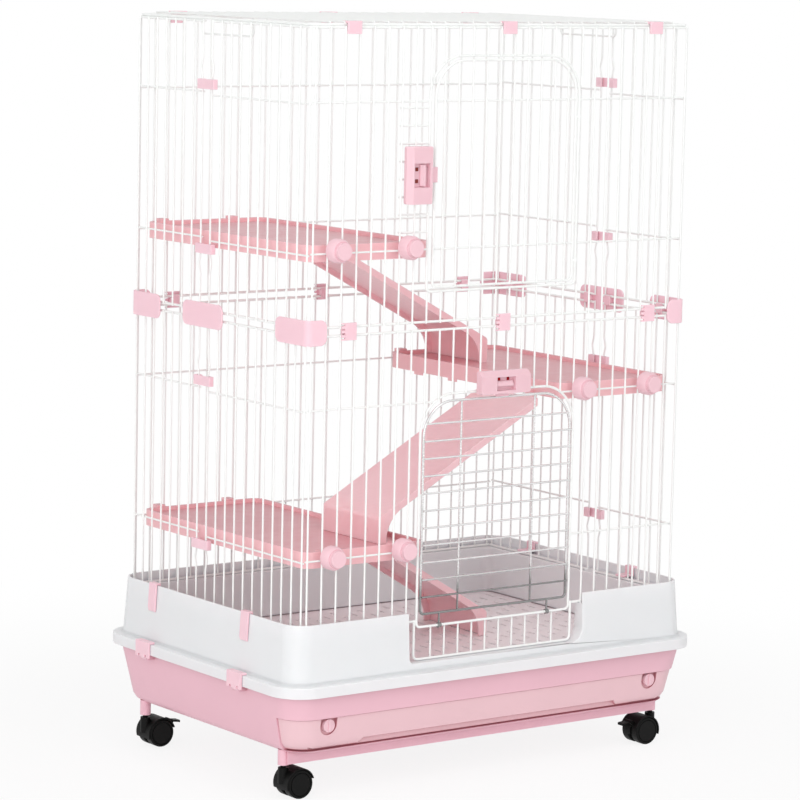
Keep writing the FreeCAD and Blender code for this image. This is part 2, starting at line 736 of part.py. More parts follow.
def clamp_ears(side_x, side_y):
    """Two ears on the tub's side that carry the pin of a flange clamp."""
    axis = clamp_axis(side_x, side_y)
    inner = side_x * (tub_outline(TUB_WALL / 2, axis.z)[0])
    outer = axis.x + side_x * CLAMP_PIN / 2
    half = CLAMP_WIDE / 4
    pieces = [pin(axis, Vector(0, 1, 0), CLAMP_WIDE / 2 + CLAMP_WALL, CLAMP_PIN)]
    for end in (-1, 1):
        y = axis.y + end * half
        x0, x1 = sorted((inner, outer))
        pieces.append(box(x0, x1, y - CLAMP_WALL / 2, y + CLAMP_WALL / 2,
                          axis.z - CLAMP_PIN, axis.z + CLAMP_PIN))
    return pieces


def base_tub():
    tub = eased_block(0, TUB_BOTTOM, FLANGE_BOTTOM)
    tub = tub.cut(eased_block(TUB_WALL, FLOOR_TOP, FLANGE_BOTTOM + OVERLAP))
    seat_x, seat_y, radius, _ = tub_outline(TUB_WALL / 2, GRATE_SEAT_TOP)
    seat = tub_block(TUB_WALL / 2, GRATE_SEAT_TOP - TUB_FLOOR, GRATE_SEAT_TOP)
    seat = seat.cut(slab(seat_x - GRATE_SEAT, seat_y - GRATE_SEAT, radius / 2, 0, FAR))
    wrap_y = -tub_outline(0, BAND_BOTTOM)[1] + DRAWER_WRAP
    tub = tub.cut(box(-FAR, FAR, -FAR, wrap_y, FLOOR_TOP, BAND_BOTTOM))
    pieces = [tub, seat]
    into_floor = FLOOR_TOP - OVERLAP
    pieces.append(box(-CASTER_X, CASTER_X, -RAIL_FRONT, -CASTER_Y, RAIL_BOTTOM, into_floor))
    for side_x, side_y, _ in CASTER_SIDES.values():
        x = side_x * CASTER_X
        y = side_y * CASTER_Y
        pieces.append(rod(Vector(x, y, SOCKET_BOTTOM), Vector(x, y, into_floor), SOCKET))
    for side in (-1, 1):
        pieces.append(catch_keeper(side))
        for end in (-1, 1):
            pieces += clamp_ears(side, end)
    tub = join(pieces)
    for side_x, side_y, _ in CASTER_SIDES.values():
        foot = Vector(side_x * CASTER_X, side_y * CASTER_Y, SOCKET_BOTTOM - OVERLAP)
        tub = tub.cut(Part.makeCylinder(STEM / 2 + BORE_FIT, STEM_TOP + FIT - foot.z, foot))
    return [tub]


def drawer_tray():
    """Tray with a front that wraps both corners, a hand recess and a round recess for each catch."""
    sill = DRAWER_BOTTOM + DRAWER_WALL
    front = eased_block(DRAWER_INSET, DRAWER_BOTTOM, DRAWER_TOP)
    front = front.cut(tub_block(DRAWER_INSET + DRAWER_FRONT, sill, DRAWER_TOP + OVERLAP))
    wrap_y = -tub_outline(0, BAND_BOTTOM)[1] + DRAWER_WRAP - FIT
    front = front.common(box(-FAR, FAR, -FAR, wrap_y, 0, FAR))
    tray = eased_block(TUB_WALL + TRAY_GAP, DRAWER_BOTTOM, DRAWER_TRAY_TOP)
    tray = tray.common(box(-DRAWER_TRAY_HALF, DRAWER_TRAY_HALF, -FAR, DRAWER_TRAY_BACK, 0, FAR))
    inner = DRAWER_TRAY_HALF - DRAWER_WALL
    hollow = eased_block(TUB_WALL + TRAY_GAP + DRAWER_WALL, sill, FLANGE_TOP)
    hollow = hollow.common(box(-inner, inner, -FAR, DRAWER_TRAY_BACK - DRAWER_WALL, 0, FAR))
    tray = join([front, tray.cut(hollow)])
    grip_top = DRAWER_BOTTOM + HAND_HIGH
    face = drawer_front_y(DRAWER_TOP) - OVERLAP
    deep = drawer_front_y(grip_top) + HAND_DEEP
    wide = HAND_HALF + HAND_HIGH
    below = DRAWER_BOTTOM - OVERLAP
    ends = [(-wide, below), (wide, below), (HAND_HALF, grip_top), (-HAND_HALF, grip_top)]
    tray = tray.cut(prism([Vector(x, face, z) for x, z in ends], Vector(0, deep - face, 0)))
    for side in (-1, 1):
        axis = catch_axis(side)
        recess = pin(axis, Vector(0, 1, 0), 2 * CATCH_RECESS_DEEP, CATCH_RECESS)
        above = box(axis.x - CATCH_RECESS / 2, axis.x + CATCH_RECESS / 2, axis.y - CATCH_RECESS_DEEP,
                    axis.y + CATCH_RECESS_DEEP, axis.z, FAR)
        behind = box(axis.x - CATCH_RECESS, axis.x + CATCH_RECESS, axis.y + DRAWER_FRONT,
                     axis.y + DRAWER_FRONT + CAM_THICK + 2 * FIT, sill, FAR)
        bore = pin(axis, Vector(0, 1, 0), 4 * DRAWER_FRONT, CATCH_SHAFT + 2 * BORE_FIT)
        tray = tray.cut(recess).cut(above).cut(behind).cut(bore)
    return [tray]


def catch_axis(side):
    """Point where the axis of a drawer catch meets the drawer's front face."""
    return Vector(side * CATCH_X, drawer_front_y(CATCH_Z), CATCH_Z)


def drawer_latch(side):
    """Ribbed knob, shaft and cam; the cam hangs down at rest and turns up behind the band."""
    axis = catch_axis(side)
    seat = axis.y + CATCH_RECESS_DEEP - FIT
    back = axis.y + DRAWER_FRONT + FIT
    face = axis.y - CATCH_PROUD
    knob = rod(Vector(axis.x, face, axis.z), Vector(axis.x, seat, axis.z), CATCH_KNOB)
    half = CATCH_RIDGE / 2
    reach = CATCH_KNOB / 2 - OVERLAP
    ridge = box(axis.x - half, axis.x + half, face - CATCH_RIDGE_HIGH, seat - OVERLAP, axis.z - reach,
                axis.z + reach)
    shaft = rod(Vector(axis.x, seat - OVERLAP, axis.z), Vector(axis.x, back + CAM_THICK, axis.z), CATCH_SHAFT)
    cam = box(axis.x - CAM_WIDE / 2, axis.x + CAM_WIDE / 2, back, back + CAM_THICK,
              axis.z - CAM_LONG, axis.z + CAM_WIDE / 2)
    return [join([knob, ridge, shaft, cam])]


def collar_outline(inset, z):
    lean = COLLAR_DRAFT * (z - FLANGE_TOP) + inset
    return COLLAR_HALF_X - lean, COLLAR_HALF_Y - lean, COLLAR_RADIUS - inset, z


def notch_outline(grow):
    """Front notch, tight in its left lower corner and round in its right one."""
    half = NOTCH_HALF + grow
    low = NOTCH_BOTTOM - grow
    points = [Vector(-half, 0, FAR), Vector(-half, 0, low), Vector(half, 0, low), Vector(half, 0, FAR)]
    return closed_face(points, [NOTCH_TIGHT + grow, NOTCH_ROUND + grow])


def collar():
    """Double-walled white collar: flange with a lip, drafted wall, inner ledge and skirt, front notch."""
    wall = loft(collar_outline(0, FLANGE_BOTTOM), collar_outline(0, COLLAR_TOP))
    below = collar_outline(COLLAR_WALL, FLANGE_BOTTOM - OVERLAP)
    above = collar_outline(COLLAR_WALL, COLLAR_TOP + OVERLAP)
    wall = wall.cut(loft(below, above))
    rim = slab(FLANGE_HALF_X, FLANGE_HALF_Y, FLANGE_RADIUS, FLANGE_TOP - FLANGE_LIP, FLANGE_TOP)
    inner_x = FLANGE_HALF_X - COLLAR_WALL
    inner_y = FLANGE_HALF_Y - COLLAR_WALL
    rim = rim.cut(slab(inner_x, inner_y, FLANGE_RADIUS - COLLAR_WALL, 0, FLANGE_BOTTOM))
    seat_x, seat_y, radius, _ = collar_outline(COLLAR_WALL, FLANGE_BOTTOM)
    rim = rim.cut(slab(seat_x, seat_y, radius, 0, FAR))
    sunk = COLLAR_WALL / 2
    ledge = loft(collar_outline(sunk, LEDGE_TOP - LEDGE_THICK), collar_outline(sunk, LEDGE_TOP))
    skirt = slab(SKIRT_HALF_X, SKIRT_HALF_Y, SKIRT_RADIUS, GRATE_TOP + SKIRT_GAP, LEDGE_TOP)
    open_x = SKIRT_HALF_X - SKIRT_WALL
    open_y = SKIRT_HALF_Y - SKIRT_WALL
    inside = slab(open_x, open_y, SKIRT_RADIUS - SKIRT_WALL, 0, FAR)
    body = join([wall, rim, ledge.cut(inside), skirt.cut(inside)])
    front = -COLLAR_HALF_Y + COLLAR_WALL / 2
    through = Vector(0, -open_y - front, 0)
    frame = notch_outline(COLLAR_WALL).extrude(through)
    frame.translate(Vector(0, front, 0))
    frame = frame.common(box(-FAR, FAR, -FAR, FAR, 0, LEDGE_TOP))
    frame = frame.common(loft(collar_outline(sunk, FLANGE_BOTTOM), collar_outline(sunk, COLLAR_TOP)))
    cut = notch_outline(0).extrude(Vector(0, COLLAR_HALF_Y, 0))
    cut.translate(Vector(0, -COLLAR_HALF_Y - OVERLAP, 0))
    middle = box(-FAR, FAR, -FAR, 0, 0, FAR)
    return [join([body, frame]).cut(cut.common(middle))]


def floor_grate():
    """Flat plate on the tub's seat with staggered rows of slits."""
    seat_x, seat_y, radius, _ = tub_outline(TUB_WALL + FIT, GRATE_SEAT_TOP)
    outline = rounded_outline(seat_x, seat_y, radius, GRATE_SEAT_TOP)
    slits = []
    reach_x = SKIRT_HALF_X - GRATE_MARGIN
    reach_y = SKIRT_HALF_Y - GRATE_MARGIN
    columns = int(reach_x / SLIT_PITCH_X)
    rows = int(reach_y / SLIT_PITCH_Y)
    for i in range(-columns, columns + 1):
        stagger = SLIT_PITCH_Y / 2 if i % 2 else 0.0
        for j in range(-rows, rows + 1):
            y = j * SLIT_PITCH_Y + stagger
            if abs(y) < reach_y:
                slits.append(slit_outline(i * SLIT_PITCH_X, y))
    face = Part.makeFace([outline] + slits, "Part::FaceMakerBullseye")
    return [face.extrude(Vector(0, 0, GRATE_THICK))]


def slit_outline(x, y):
    half = SLIT_WIDE / 2
    end = SLIT_LONG / 2 - half
    z = GRATE_SEAT_TOP
    p0, p1 = Vector(x + half, y - end, z), Vector(x + half, y + end, z)
    p2, p3 = Vector(x - half, y + end, z), Vector(x - half, y - end, z)
    top, low = Vector(x, y + end + half, z), Vector(x, y - end - half, z)
    edges = [Part.LineSegment(p0, p1).toShape(), Part.Arc(p1, top, p2).toShape(),
             Part.LineSegment(p2, p3).toShape(), Part.Arc(p3, low, p0).toShape()]
    return Part.Wire(edges)


def flange_clamp(side_x, side_y):
    """Hooked clamp that turns about a pin below the flange and snaps over its edge."""
    axis = clamp_axis(side_x, side_y)
    half = CLAMP_WIDE / 2
    face = FLANGE_HALF_X + FIT
    outer = face + CLAMP_WALL
    top = FLANGE_TOP + FIT
    eye = CLAMP_PIN + 2 * BORE_FIT
    drop = axis.z
    profile = [(face, drop), (outer, drop), (outer, top + CLAMP_WALL), (face - CLAMP_HOOK, top + CLAMP_WALL),
               (face - CLAMP_HOOK, top), (face, top)]
    points = [Vector(side_x * x, axis.y - half, z) for x, z in profile]
    plate = prism(points, Vector(0, CLAMP_WIDE, 0))
    barrel_long = CLAMP_WIDE / 2 - CLAMP_WALL - 2 * FIT
    barrel = pin(axis, Vector(0, 1, 0), barrel_long, eye + 2 * HINGE_WALL)
    for end in (-1, 1):
        y = axis.y + end * CLAMP_WIDE / 4
        slot = CLAMP_WALL / 2 + FIT
        plate = plate.cut(box(-FAR, FAR, y - slot, y + slot, 0, axis.z + CLAMP_PIN + FIT))
    bore = pin(axis, Vector(0, 1, 0), 2 * CLAMP_WIDE, eye)
    return [join([plate, barrel]).cut(bore)]


def cage_clips():
    """Four hooks over the collar's top edge that hold down the side walls' lowest wires."""
    clips = []
    top = COLLAR_TOP + FIT
    low = COLLAR_TOP - CLIP_DROP
    wire_top = LOWER_BOTTOM + FRAME_WIRE / 2 + FIT
    outside_top = collar_outline(-FIT, COLLAR_TOP)[0]
    outside_low = collar_outline(-FIT, low)[0]
    inside = collar_outline(COLLAR_WALL + FIT, COLLAR_TOP)[0]
    inner_leg = inside - CLIP_WALL
    reach = HALF_X - FRAME_DEPTH - FRAME_WIRE
    profile = [(outside_top, top), (outside_low, low), (outside_low + CLIP_WALL / 2, low),
               (outside_low + CLIP_WALL, low + CLIP_TOE), (outside_top + CLIP_WALL, top + CLIP_WALL),
               (inner_leg, top + CLIP_WALL), (inner_leg, wire_top + CLIP_WALL), (reach, wire_top + CLIP_WALL),
               (reach, wire_top), (inside, wire_top), (inside, top)]
    columns = side_columns()
    for side_x in (-1, 1):
        for side_y in (-1, 1):
            near = min(columns, key=lambda y: abs(y - side_y * CLIP_Y))
            middle = near + SIDE_PITCH / 2
            points = [Vector(side_x * x, middle - CLIP_WIDE / 2, z) for x, z in profile]
            clips.append(prism(points, Vector(0, CLIP_WIDE, 0)))
    return clips


def seam_tongue(wall, along):
    """Snap tongue between the two frame wires of the seam, spread behind them."""
    half = TONGUE_WIDE / 2
    room = STOREY_SEAM / 2 - FRAME_WIRE / 2 - FIT
    behind = FRAME_DEPTH + FRAME_WIRE / 2 + FIT
    start = at_wall(wall, along - half, -WIRE / 2 - FIT - OVERLAP, SEAM_MIDDLE - room)
    end = at_wall(wall, along + half, behind + TONGUE_DEEP, SEAM_MIDDLE + room)
    spread = room + FRAME_WIRE
    head_start = at_wall(wall, along - half, behind, SEAM_MIDDLE - spread)
    head_end = at_wall(wall, along + half, behind + TONGUE_DEEP, SEAM_MIDDLE + spread)
    return [between(start, end), between(head_start, head_end)]


def between(a, b):
    return box(min(a.x, b.x), max(a.x, b.x), min(a.y, b.y), max(a.y, b.y), min(a.z, b.z), max(a.z, b.z))


def rounded_panel(wall, a0, a1, z0, z1, radius):
    """Block right across the cage whose outline, seen square to a wall, is a rounded rectangle."""
    block = slab((a1 - a0) / 2, (z1 - z0) / 2, radius, -CAGE_WIDTH, CAGE_WIDTH)
    along = (a0 + a1) / 2
    up = (z0 + z1) / 2
    if wall in ("front", "back"):
        block.Placement = Placement(Matrix(1, 0, 0, along, 0, 0, -1, 0, 0, 1, 0, up))
    else:
        block.Placement = Placement(Matrix(0, 0, 1, 0, 1, 0, 0, along, 0, 1, 0, up))
    return block


def section_clips():
    """Clips over the seam between the storeys: one round each corner and one on each side wall."""
    clips = []
    low = SEAM_MIDDLE - SECTION_CLIP_HIGH / 2
    high = SEAM_MIDDLE + SECTION_CLIP_HIGH / 2
    inner_x = FACE_SIDE + FIT
    inner_y = FACE_FRONT + FIT
    shell = slab(inner_x + CLIP_WALL, inner_y + CLIP_WALL, CORNER_CLIP_BEND + CLIP_WALL, low, high)
    shell = shell.cut(slab(inner_x, inner_y, CORNER_CLIP_BEND, low, high))
    columns = side_columns()
    for side_x in (-1, 1):
        wall = "left" if side_x < 0 else "right"
        for side_y in (-1, 1):
            x0, x1 = sorted((side_x * (inner_x + CLIP_WALL - CORNER_CLIP_FRONT), side_x * CAGE_WIDTH))
            y0, y1 = sorted((side_y * (inner_y + CLIP_WALL - CORNER_CLIP_SIDE), side_y * CAGE_WIDTH))
            plate = shell.common(rounded_panel("front", x0, x1, low, high, CLIP_ROUND))
            plate = plate.common(rounded_panel(wall, y0, y1, low, high, CLIP_ROUND))
            tongue = seam_tongue(wall, side_y * (columns[-2] - SIDE_PITCH / 2))
            clips.append(join([plate] + tongue))
        first, second = fold_columns(wall)
        middle = (columns[first] + columns[second]) / 2
        reach = SIDE_CLIP_LONG / 2
        plate = shell.common(rounded_panel(wall, middle - reach, middle + reach, low, high, CLIP_ROUND))
        plate = plate.common(box(min(0, side_x * FAR), max(0, side_x * FAR), -FAR, FAR, low, high))
        tongues = seam_tongue(wall, middle - SIDE_PITCH) + seam_tongue(wall, middle + SIDE_PITCH)
        clips.append(join([plate] + tongues))
    return clips


def clip_places():
    outer = near_gap(HALF_X - CLIP_FROM_CORNER)
    return -outer, 0.0, outer


def small_clips():
    """Small comb-edged clips over the seam of the front and back walls."""
    clips = []
    half = SMALL_CLIP / 2
    for wall in ("front", "back"):
        for along in clip_places():
            outer = at_wall(wall, along - half, -WIRE / 2 - FIT - CLIP_WALL, SEAM_MIDDLE - half)
            inner = at_wall(wall, along + half, -WIRE / 2 - FIT, SEAM_MIDDLE + half)
            clip = join([between(outer, inner)] + seam_tongue(wall, along))
            for tooth in range(COMB_CUTS):
                z = SEAM_MIDDLE - half + SMALL_CLIP * (tooth + 0.5) / COMB_CUTS
                a = at_wall(wall, along - half - OVERLAP, -FAR, z - COMB_CUT / 2)
                b = at_wall(wall, along - half + COMB_DEEP, 0, z + COMB_CUT / 2)
                clip = clip.cut(between(a, b))
            clips.append(clip)
    return clips


def roof_clips():
    """Clips folded over the roof's front and back edges."""
    clips = []
    half = ROOF_CLIP_WIDE / 2
    top = ROOF_FRAME + FRAME_WIRE / 2 + FIT
    for wall in ("front", "back"):
        for along in clip_places():
            gap = (PITCH - WIRE) / 2 - FIT
            face = -WIRE / 2 - FIT
            leg = between(at_wall(wall, along - half, face - CLIP_WALL, top - ROOF_CLIP_DROP),
                          at_wall(wall, along + half, face, top))
            lid = between(at_wall(wall, along - gap, face - CLIP_WALL, top),
                          at_wall(wall, along + gap, ROOF_CLIP_IN, top + CLIP_WALL))
            step = between(at_wall(wall, along - half, face - CLIP_WALL, top),
                           at_wall(wall, along + half, face, top + CLIP_WALL))
            clips.append(join([leg, step, lid]))
    return clips


def fold_sleeve(wall, storey, index):
    """Sliding sleeve round the two fold wires, wide enough inside to pass over their bulge."""
    columns = side_columns()
    first, second = fold_columns(wall)
    middle = (columns[first] + columns[second]) / 2
    z, _ = sleeve_levels(storey)[index]
    room = SIDE_PITCH / 2 + BULGE + WIRE / 2 + FIT
    half = max(SLEEVE_LONG / 2, room + SLEEVE_WALL)
    deep = WIRE / 2 + FIT
    low = z - SLEEVE_HIGH / 2
    high = z + SLEEVE_HIGH / 2
    block = between(at_wall(wall, middle - half, -deep - SLEEVE_WALL, low),
                    at_wall(wall, middle + half, deep + SLEEVE_WALL, high))
    under = low - OVERLAP
    over = high + OVERLAP
    pocket = between(at_wall(wall, middle - room, -deep, under), at_wall(wall, middle + room, deep, over))
    lips = room - SLEEVE_LIP - BULGE
    slot = between(at_wall(wall, middle - lips, 0, under), at_wall(wall, middle + lips, FAR, over))
    return [block.cut(pocket).cut(slot)]


def platform_span(index):
    """Outer and inner X of a platform, and the way from outer to inner."""
    side = PLATFORM_SIDES[index]
    return side * PLATFORM_OUTER, side * (PLATFORM_OUTER - PLATFORM_WIDE), -side


def knob_places(index):
    """Places along the front of a platform's left and right knob, each in a gap between uprights."""
    if PLATFORM_SIDES[index] < 0:
        return [near_gap(-PLATFORM_OUTER + step) for step in KNOBS_FROM_LEFT]
    return [near_gap(PLATFORM_OUTER - step) for step in KNOBS_FROM_RIGHT]


def knob_axis(index, along):
    z = PLATFORM_RAILS[index] + WIRE / 2 + FIT + KNOB_SHAFT / 2
    return Vector(along, -FACE_FRONT - FIT, z)


def ramp_pivot(index):
    _, inner, way = platform_span(index)
    return Vector(inner + way * RAMP_PIN_OUT, RAMP_CENTRES[index], PLATFORM_TOPS[index] - RAMP_PIN_DROP)


def platform(index):
    """Tray with a raised rim and a skirt, hooks at the back and hinge lugs for its ramp."""
    top = PLATFORM_TOPS[index]
    outer, inner, way = platform_span(index)
    low = top - PLATFORM_HIGH
    half_x = PLATFORM_WIDE / 2
    shift = Vector((outer + inner) / 2, 0, 0)
    body = slab(half_x, PLATFORM_HALF_Y, PLATFORM_RADIUS, low, top)
    recess = slab(half_x - PLATFORM_RIM, PLATFORM_HALF_Y - PLATFORM_RIM, PLATFORM_RADIUS - PLATFORM_RIM,
                  top - PLATFORM_RECESS, top + OVERLAP)
    under = slab(half_x - PLATFORM_SKIN, PLATFORM_HALF_Y - PLATFORM_SKIN, PLATFORM_RADIUS - PLATFORM_SKIN,
                 low - OVERLAP, top - PLATFORM_RECESS - PLATFORM_SKIN)
    body = body.cut(recess).cut(under)
    body.translate(shift)
    pieces = [body]
    x0, x1 = sorted((inner, inner - way * PLATFORM_SKIN))
    for y in TAB_PLACES:
        pieces.append(box(x0, x1, y - TAB_WIDE / 2, y + TAB_WIDE / 2, low - TAB_DROP, low + OVERLAP))
    hook_low = PLATFORM_RAILS[index] + WIRE / 2 + FIT
    lip_start = HALF_Y - RAIL_DEPTH + WIRE / 2 + FIT
    for x in knob_places(index):
        half = HOOK_WIDE / 2
        pieces.append(box(x - half, x + half, PLATFORM_HALF_Y - PLATFORM_SKIN, lip_start + HOOK_LIP,
                          hook_low, top + HOOK_LIP))
        pieces.append(box(x - half, x + half, lip_start, lip_start + HOOK_LIP, low, hook_low + HOOK_LIP))
        axis = knob_axis(index, x)
        pieces.append(rod(Vector(x, -PLATFORM_HALF_Y + PLATFORM_SKIN / 2, axis.z),
                          Vector(x, -PLATFORM_HALF_Y + KNOB_GRIP, axis.z), KNOB_SHAFT + 4 * PLATFORM_SKIN))
    pivot = ramp_pivot(index)
    for end in (-1, 1):
        y = pivot.y + end * RAMP_LUG_SPREAD
        x0, x1 = sorted((inner - way * PLATFORM_SKIN, pivot.x))
        pieces.append(box(x0, x1, y - RAMP_LUG / 2, y + RAMP_LUG / 2, pivot.z - RAMP_PIN, low + RAMP_LUG))
        pieces.append(pin(Vector(pivot.x, y, pivot.z), Vector(0, 1, 0), RAMP_LUG, 2 * RAMP_PIN))
        stub = RAMP_LUG / 2 + RAMP_BARREL_LONG + 2 * FIT
        pieces.append(rod(Vector(pivot.x, y, pivot.z), Vector(pivot.x, y + end * stub, pivot.z), RAMP_PIN))
    tray = join(pieces)
    for x in knob_places(index):
        axis = knob_axis(index, x)
        bore = Vector(axis.x, -PLATFORM_HALF_Y - OVERLAP, axis.z)
        tray = tray.cut(Part.makeCylinder(KNOB_SHAFT / 2 + BORE_FIT, KNOB_GRIP, bore, Vector(0, 1, 0)))
    return [tray]


def platform_knob(index, along):
    """Round knob whose shaft rests on the front rail and screws into the platform."""
    axis = knob_axis(index, along)
    back = axis.y
    face = back - KNOB_LONG
    shoulder = back - KNOB_BASE
    base = rod(Vector(axis.x, back, axis.z), Vector(axis.x, shoulder, axis.z), KNOB)
    taper = Part.makeCone(KNOB / 2, (KNOB + KNOB_CAP) / 4, KNOB_TAPER, Vector(axis.x, shoulder, axis.z),
                          Vector(0, -1, 0))
    cap = rod(Vector(axis.x, shoulder, axis.z), Vector(axis.x, face, axis.z), KNOB_CAP)
    shaft_end = -PLATFORM_HALF_Y + KNOB_GRIP - KNOB_SHAFT_SHORT
    shaft = rod(Vector(axis.x, back - OVERLAP, axis.z), Vector(axis.x, shaft_end, axis.z), KNOB_SHAFT)
    return [join([base, taper, cap, shaft])]


def ramp(index):
    """Hollow ramp: skin with side skirts, a standing foot, and two eyes on the platform's pins."""
    pivot = ramp_pivot(index)
    way = platform_span(index)[2]
    end_x = RAMP_ENDS[index]
    floors = (PLATFORM_TOPS[1] - PLATFORM_RECESS, PLATFORM_TOPS[2] - PLATFORM_RECESS, GRATE_TOP)
    floor = floors[index] + FIT
    run = abs(end_x - pivot.x)
    start = RAMP_PIN + 2 * FIT + RAMP_SKIN
    high = pivot.z + RAMP_BARREL / 2
    slope = (high - floor - RAMP_FOOT) / run

    def line(along, below):
        return Vector(pivot.x + way * along, 0, high - slope * along - below)

    foot = Vector(end_x, 0, floor)
    back = Vector(end_x - way * RAMP_FOOT_LONG, 0, floor)
    outline = [line(start, RAMP_SIDE), line(run - RAMP_FOOT_LONG, RAMP_SIDE), back, foot, line(run, 0),
               line(start, 0)]
    half = RAMP_WIDE / 2
    shell = closed_face(outline, [RAMP_COVE, RAMP_TOE, RAMP_TOE, RAMP_NOSE]).extrude(Vector(0, RAMP_WIDE, 0))
    shell.translate(Vector(0, pivot.y - half, 0))
    near = pivot.x + way * (start + RAMP_SKIN)
    hollow = [line(start + RAMP_SKIN, RAMP_SKIN), line(run - RAMP_SKIN, RAMP_SKIN),
              Vector(end_x - way * RAMP_SKIN, 0, floor - OVERLAP), Vector(near, 0, floor - OVERLAP)]
    room = half - RAMP_SKIN
    pocket = closed_face(hollow, [RAMP_COVE, RAMP_TOE]).extrude(Vector(0, 2 * room, 0))
    pocket.translate(Vector(0, pivot.y - room, 0))
    pieces = [shell.cut(pocket)]
    for end in (-1, 1):
        y = pivot.y + end * (RAMP_LUG_SPREAD + RAMP_LUG / 2 + FIT + RAMP_BARREL_LONG / 2)
        pieces.append(pin(Vector(pivot.x, y, pivot.z), Vector(0, 1, 0), RAMP_BARREL_LONG, RAMP_BARREL))
        far = start + OVERLAP
        neck = [line(0, 0), line(far, 0), line(far, RAMP_SKIN), line(0, RAMP_SKIN)]
        pieces.append(prism([p.add(Vector(0, y - RAMP_BARREL_LONG / 2, 0)) for p in neck],
                            Vector(0, RAMP_BARREL_LONG, 0)))
    bore = pin(pivot, Vector(0, 1, 0), RAMP_WIDE, RAMP_PIN + 2 * BORE_FIT)
    return [join(pieces).cut(bore)]


def caster_axle(name):
    side_x, side_y, way = CASTER_SIDES[name]
    return Vector(side_x * CASTER_X + way * CASTER_TRAIL, side_y * CASTER_Y, WHEEL_RADIUS)


def lever_pivot(name):
    """Pin of a brake lever, on the hood's side away from the stem."""
    way = CASTER_SIDES[name][2]
    reach = HOOD_OUTER + LEVER_PIN / 2 + HINGE_WALL + BORE_FIT + FIT
    turn = math.radians(LEVER_ANGLE)
    return caster_axle(name).add(Vector(way * reach * math.cos(turn), 0, reach * math.sin(turn)))


def caster_hood(name):
    """Stem, hood and fin of a twin-wheel caster, with the axle fixed across the fin."""
    side_x, side_y, way = CASTER_SIDES[name]
    axle = caster_axle(name)
    across = Vector(0, 1, 0)
    wide = FIN + 2 * WHEEL_WIDE + 4 * FIT
    hood = pin(axle, across, wide, 2 * HOOD_OUTER)
    stem_x = side_x * CASTER_X
    stem_y = side_y * CASTER_Y
    crown = WHEEL_RADIUS + HOOD_OUTER
    boss = Part.makeCylinder(STEM, crown - WHEEL_RADIUS, Vector(stem_x, stem_y, WHEEL_RADIUS + OVERLAP))
    shell = hood.fuse(boss)
    for end in (-1, 1):
        inner = axle.add(Vector(0, end * FIN / 2, 0))
        shell = shell.cut(rod(inner, axle.add(Vector(0, end * FAR, 0)), 2 * HOOD_INNER))
    tilt = (HOOD_HIGH - HOOD_LOW) / 2
    middle = (HOOD_HIGH + HOOD_LOW) / 2
    below = [(-2, middle - 2 * tilt), (2, middle + 2 * tilt), (2, -FAR), (-2, -FAR)]
    points = [Vector(axle.x + way * reach * HOOD_OUTER, -FAR, z) for reach, z in below]
    shell = shell.cut(prism(points, Vector(0, 2 * FAR, 0)))
    fin = pin(axle, across, FIN, 2 * HOOD_INNER + HOOD_WALL)
    fin = fin.cut(box(-FAR, FAR, -FAR, FAR, -FAR, WHEEL_RADIUS - AXLE))
    dish_floor = FIN / 2 + WHEEL_WIDE - DISH_DEEP + 2 * FIT
    pieces = [shell, fin, pin(axle, across, 2 * dish_floor, AXLE)]
    for end in (-1, 1):
        cap = axle.add(Vector(0, end * (dish_floor + HOOD_WALL / 2), 0))
        pieces.append(pin(cap, across, HOOD_WALL, AXLE_HEAD))
    pieces.append(Part.makeCylinder(STEM / 2, STEM_TOP - WHEEL, Vector(stem_x, stem_y, WHEEL)))
    if name in BRAKED:
        pivot = lever_pivot(name)
        eye = LEVER_PIN + 2 * HINGE_WALL
        ear = LEVER_WIDE / 2 + FIT
        pieces.append(pin(pivot, across, 2 * ear + 2 * HOOD_WALL, LEVER_PIN))
        for end in (-1, 1):
            y = pivot.y + end * (ear + HOOD_WALL / 2)
            link = pivot.sub(axle).normalize()
            link_start = Vector(pivot.x, y, pivot.z)
            link_end = link_start.sub(link.multiply(eye / 2 + HOOD_WALL))
            pieces.append(pin(link_start, across, HOOD_WALL, eye))
            strip = ear_outline(link_start, link_end, eye / 2, HOOD_WALL)
            pieces.append(prism(strip, Vector(0, HOOD_WALL, 0)))
    return [join(pieces)]


def ear_outline(start, end, half, wide):
    """Strip between two points in a plane across Y, its near face half a thickness before them."""
    along = end.sub(start).normalize()
    side = Vector(-along.z, 0, along.x).multiply(half)
    back = Vector(0, -wide / 2, 0)
    return [p.add(back) for p in (start.add(side), start.sub(side), end.sub(side), end.add(side))]


def caster_wheels(name):
    """The two wheels on one axle, each with a rounded tread and a dished face."""
    axle = caster_axle(name)
    wheels = []
    for end in (-1, 1):
        inner = FIN / 2 + FIT
        middle = axle.add(Vector(0, end * (inner + WHEEL_WIDE / 2), 0))
        wheel = pin(middle, Vector(0, 1, 0), WHEEL_WIDE, WHEEL)
        rims = [edge for edge in wheel.Edges if abs(edge.Length - math.pi * WHEEL) < 1e-3]
        wheel = wheel.makeFillet(TREAD_ROUND, rims)
        bore = pin(middle, Vector(0, 1, 0), 2 * WHEEL_WIDE, AXLE + 2 * BORE_FIT)
        dish = rod(axle.add(Vector(0, end * (inner + WHEEL_WIDE - DISH_DEEP), 0)),
                   axle.add(Vector(0, end * (inner + WHEEL_WIDE + OVERLAP), 0)), DISH)
        wheels.append(wheel.cut(dish).cut(bore))
    return wheels


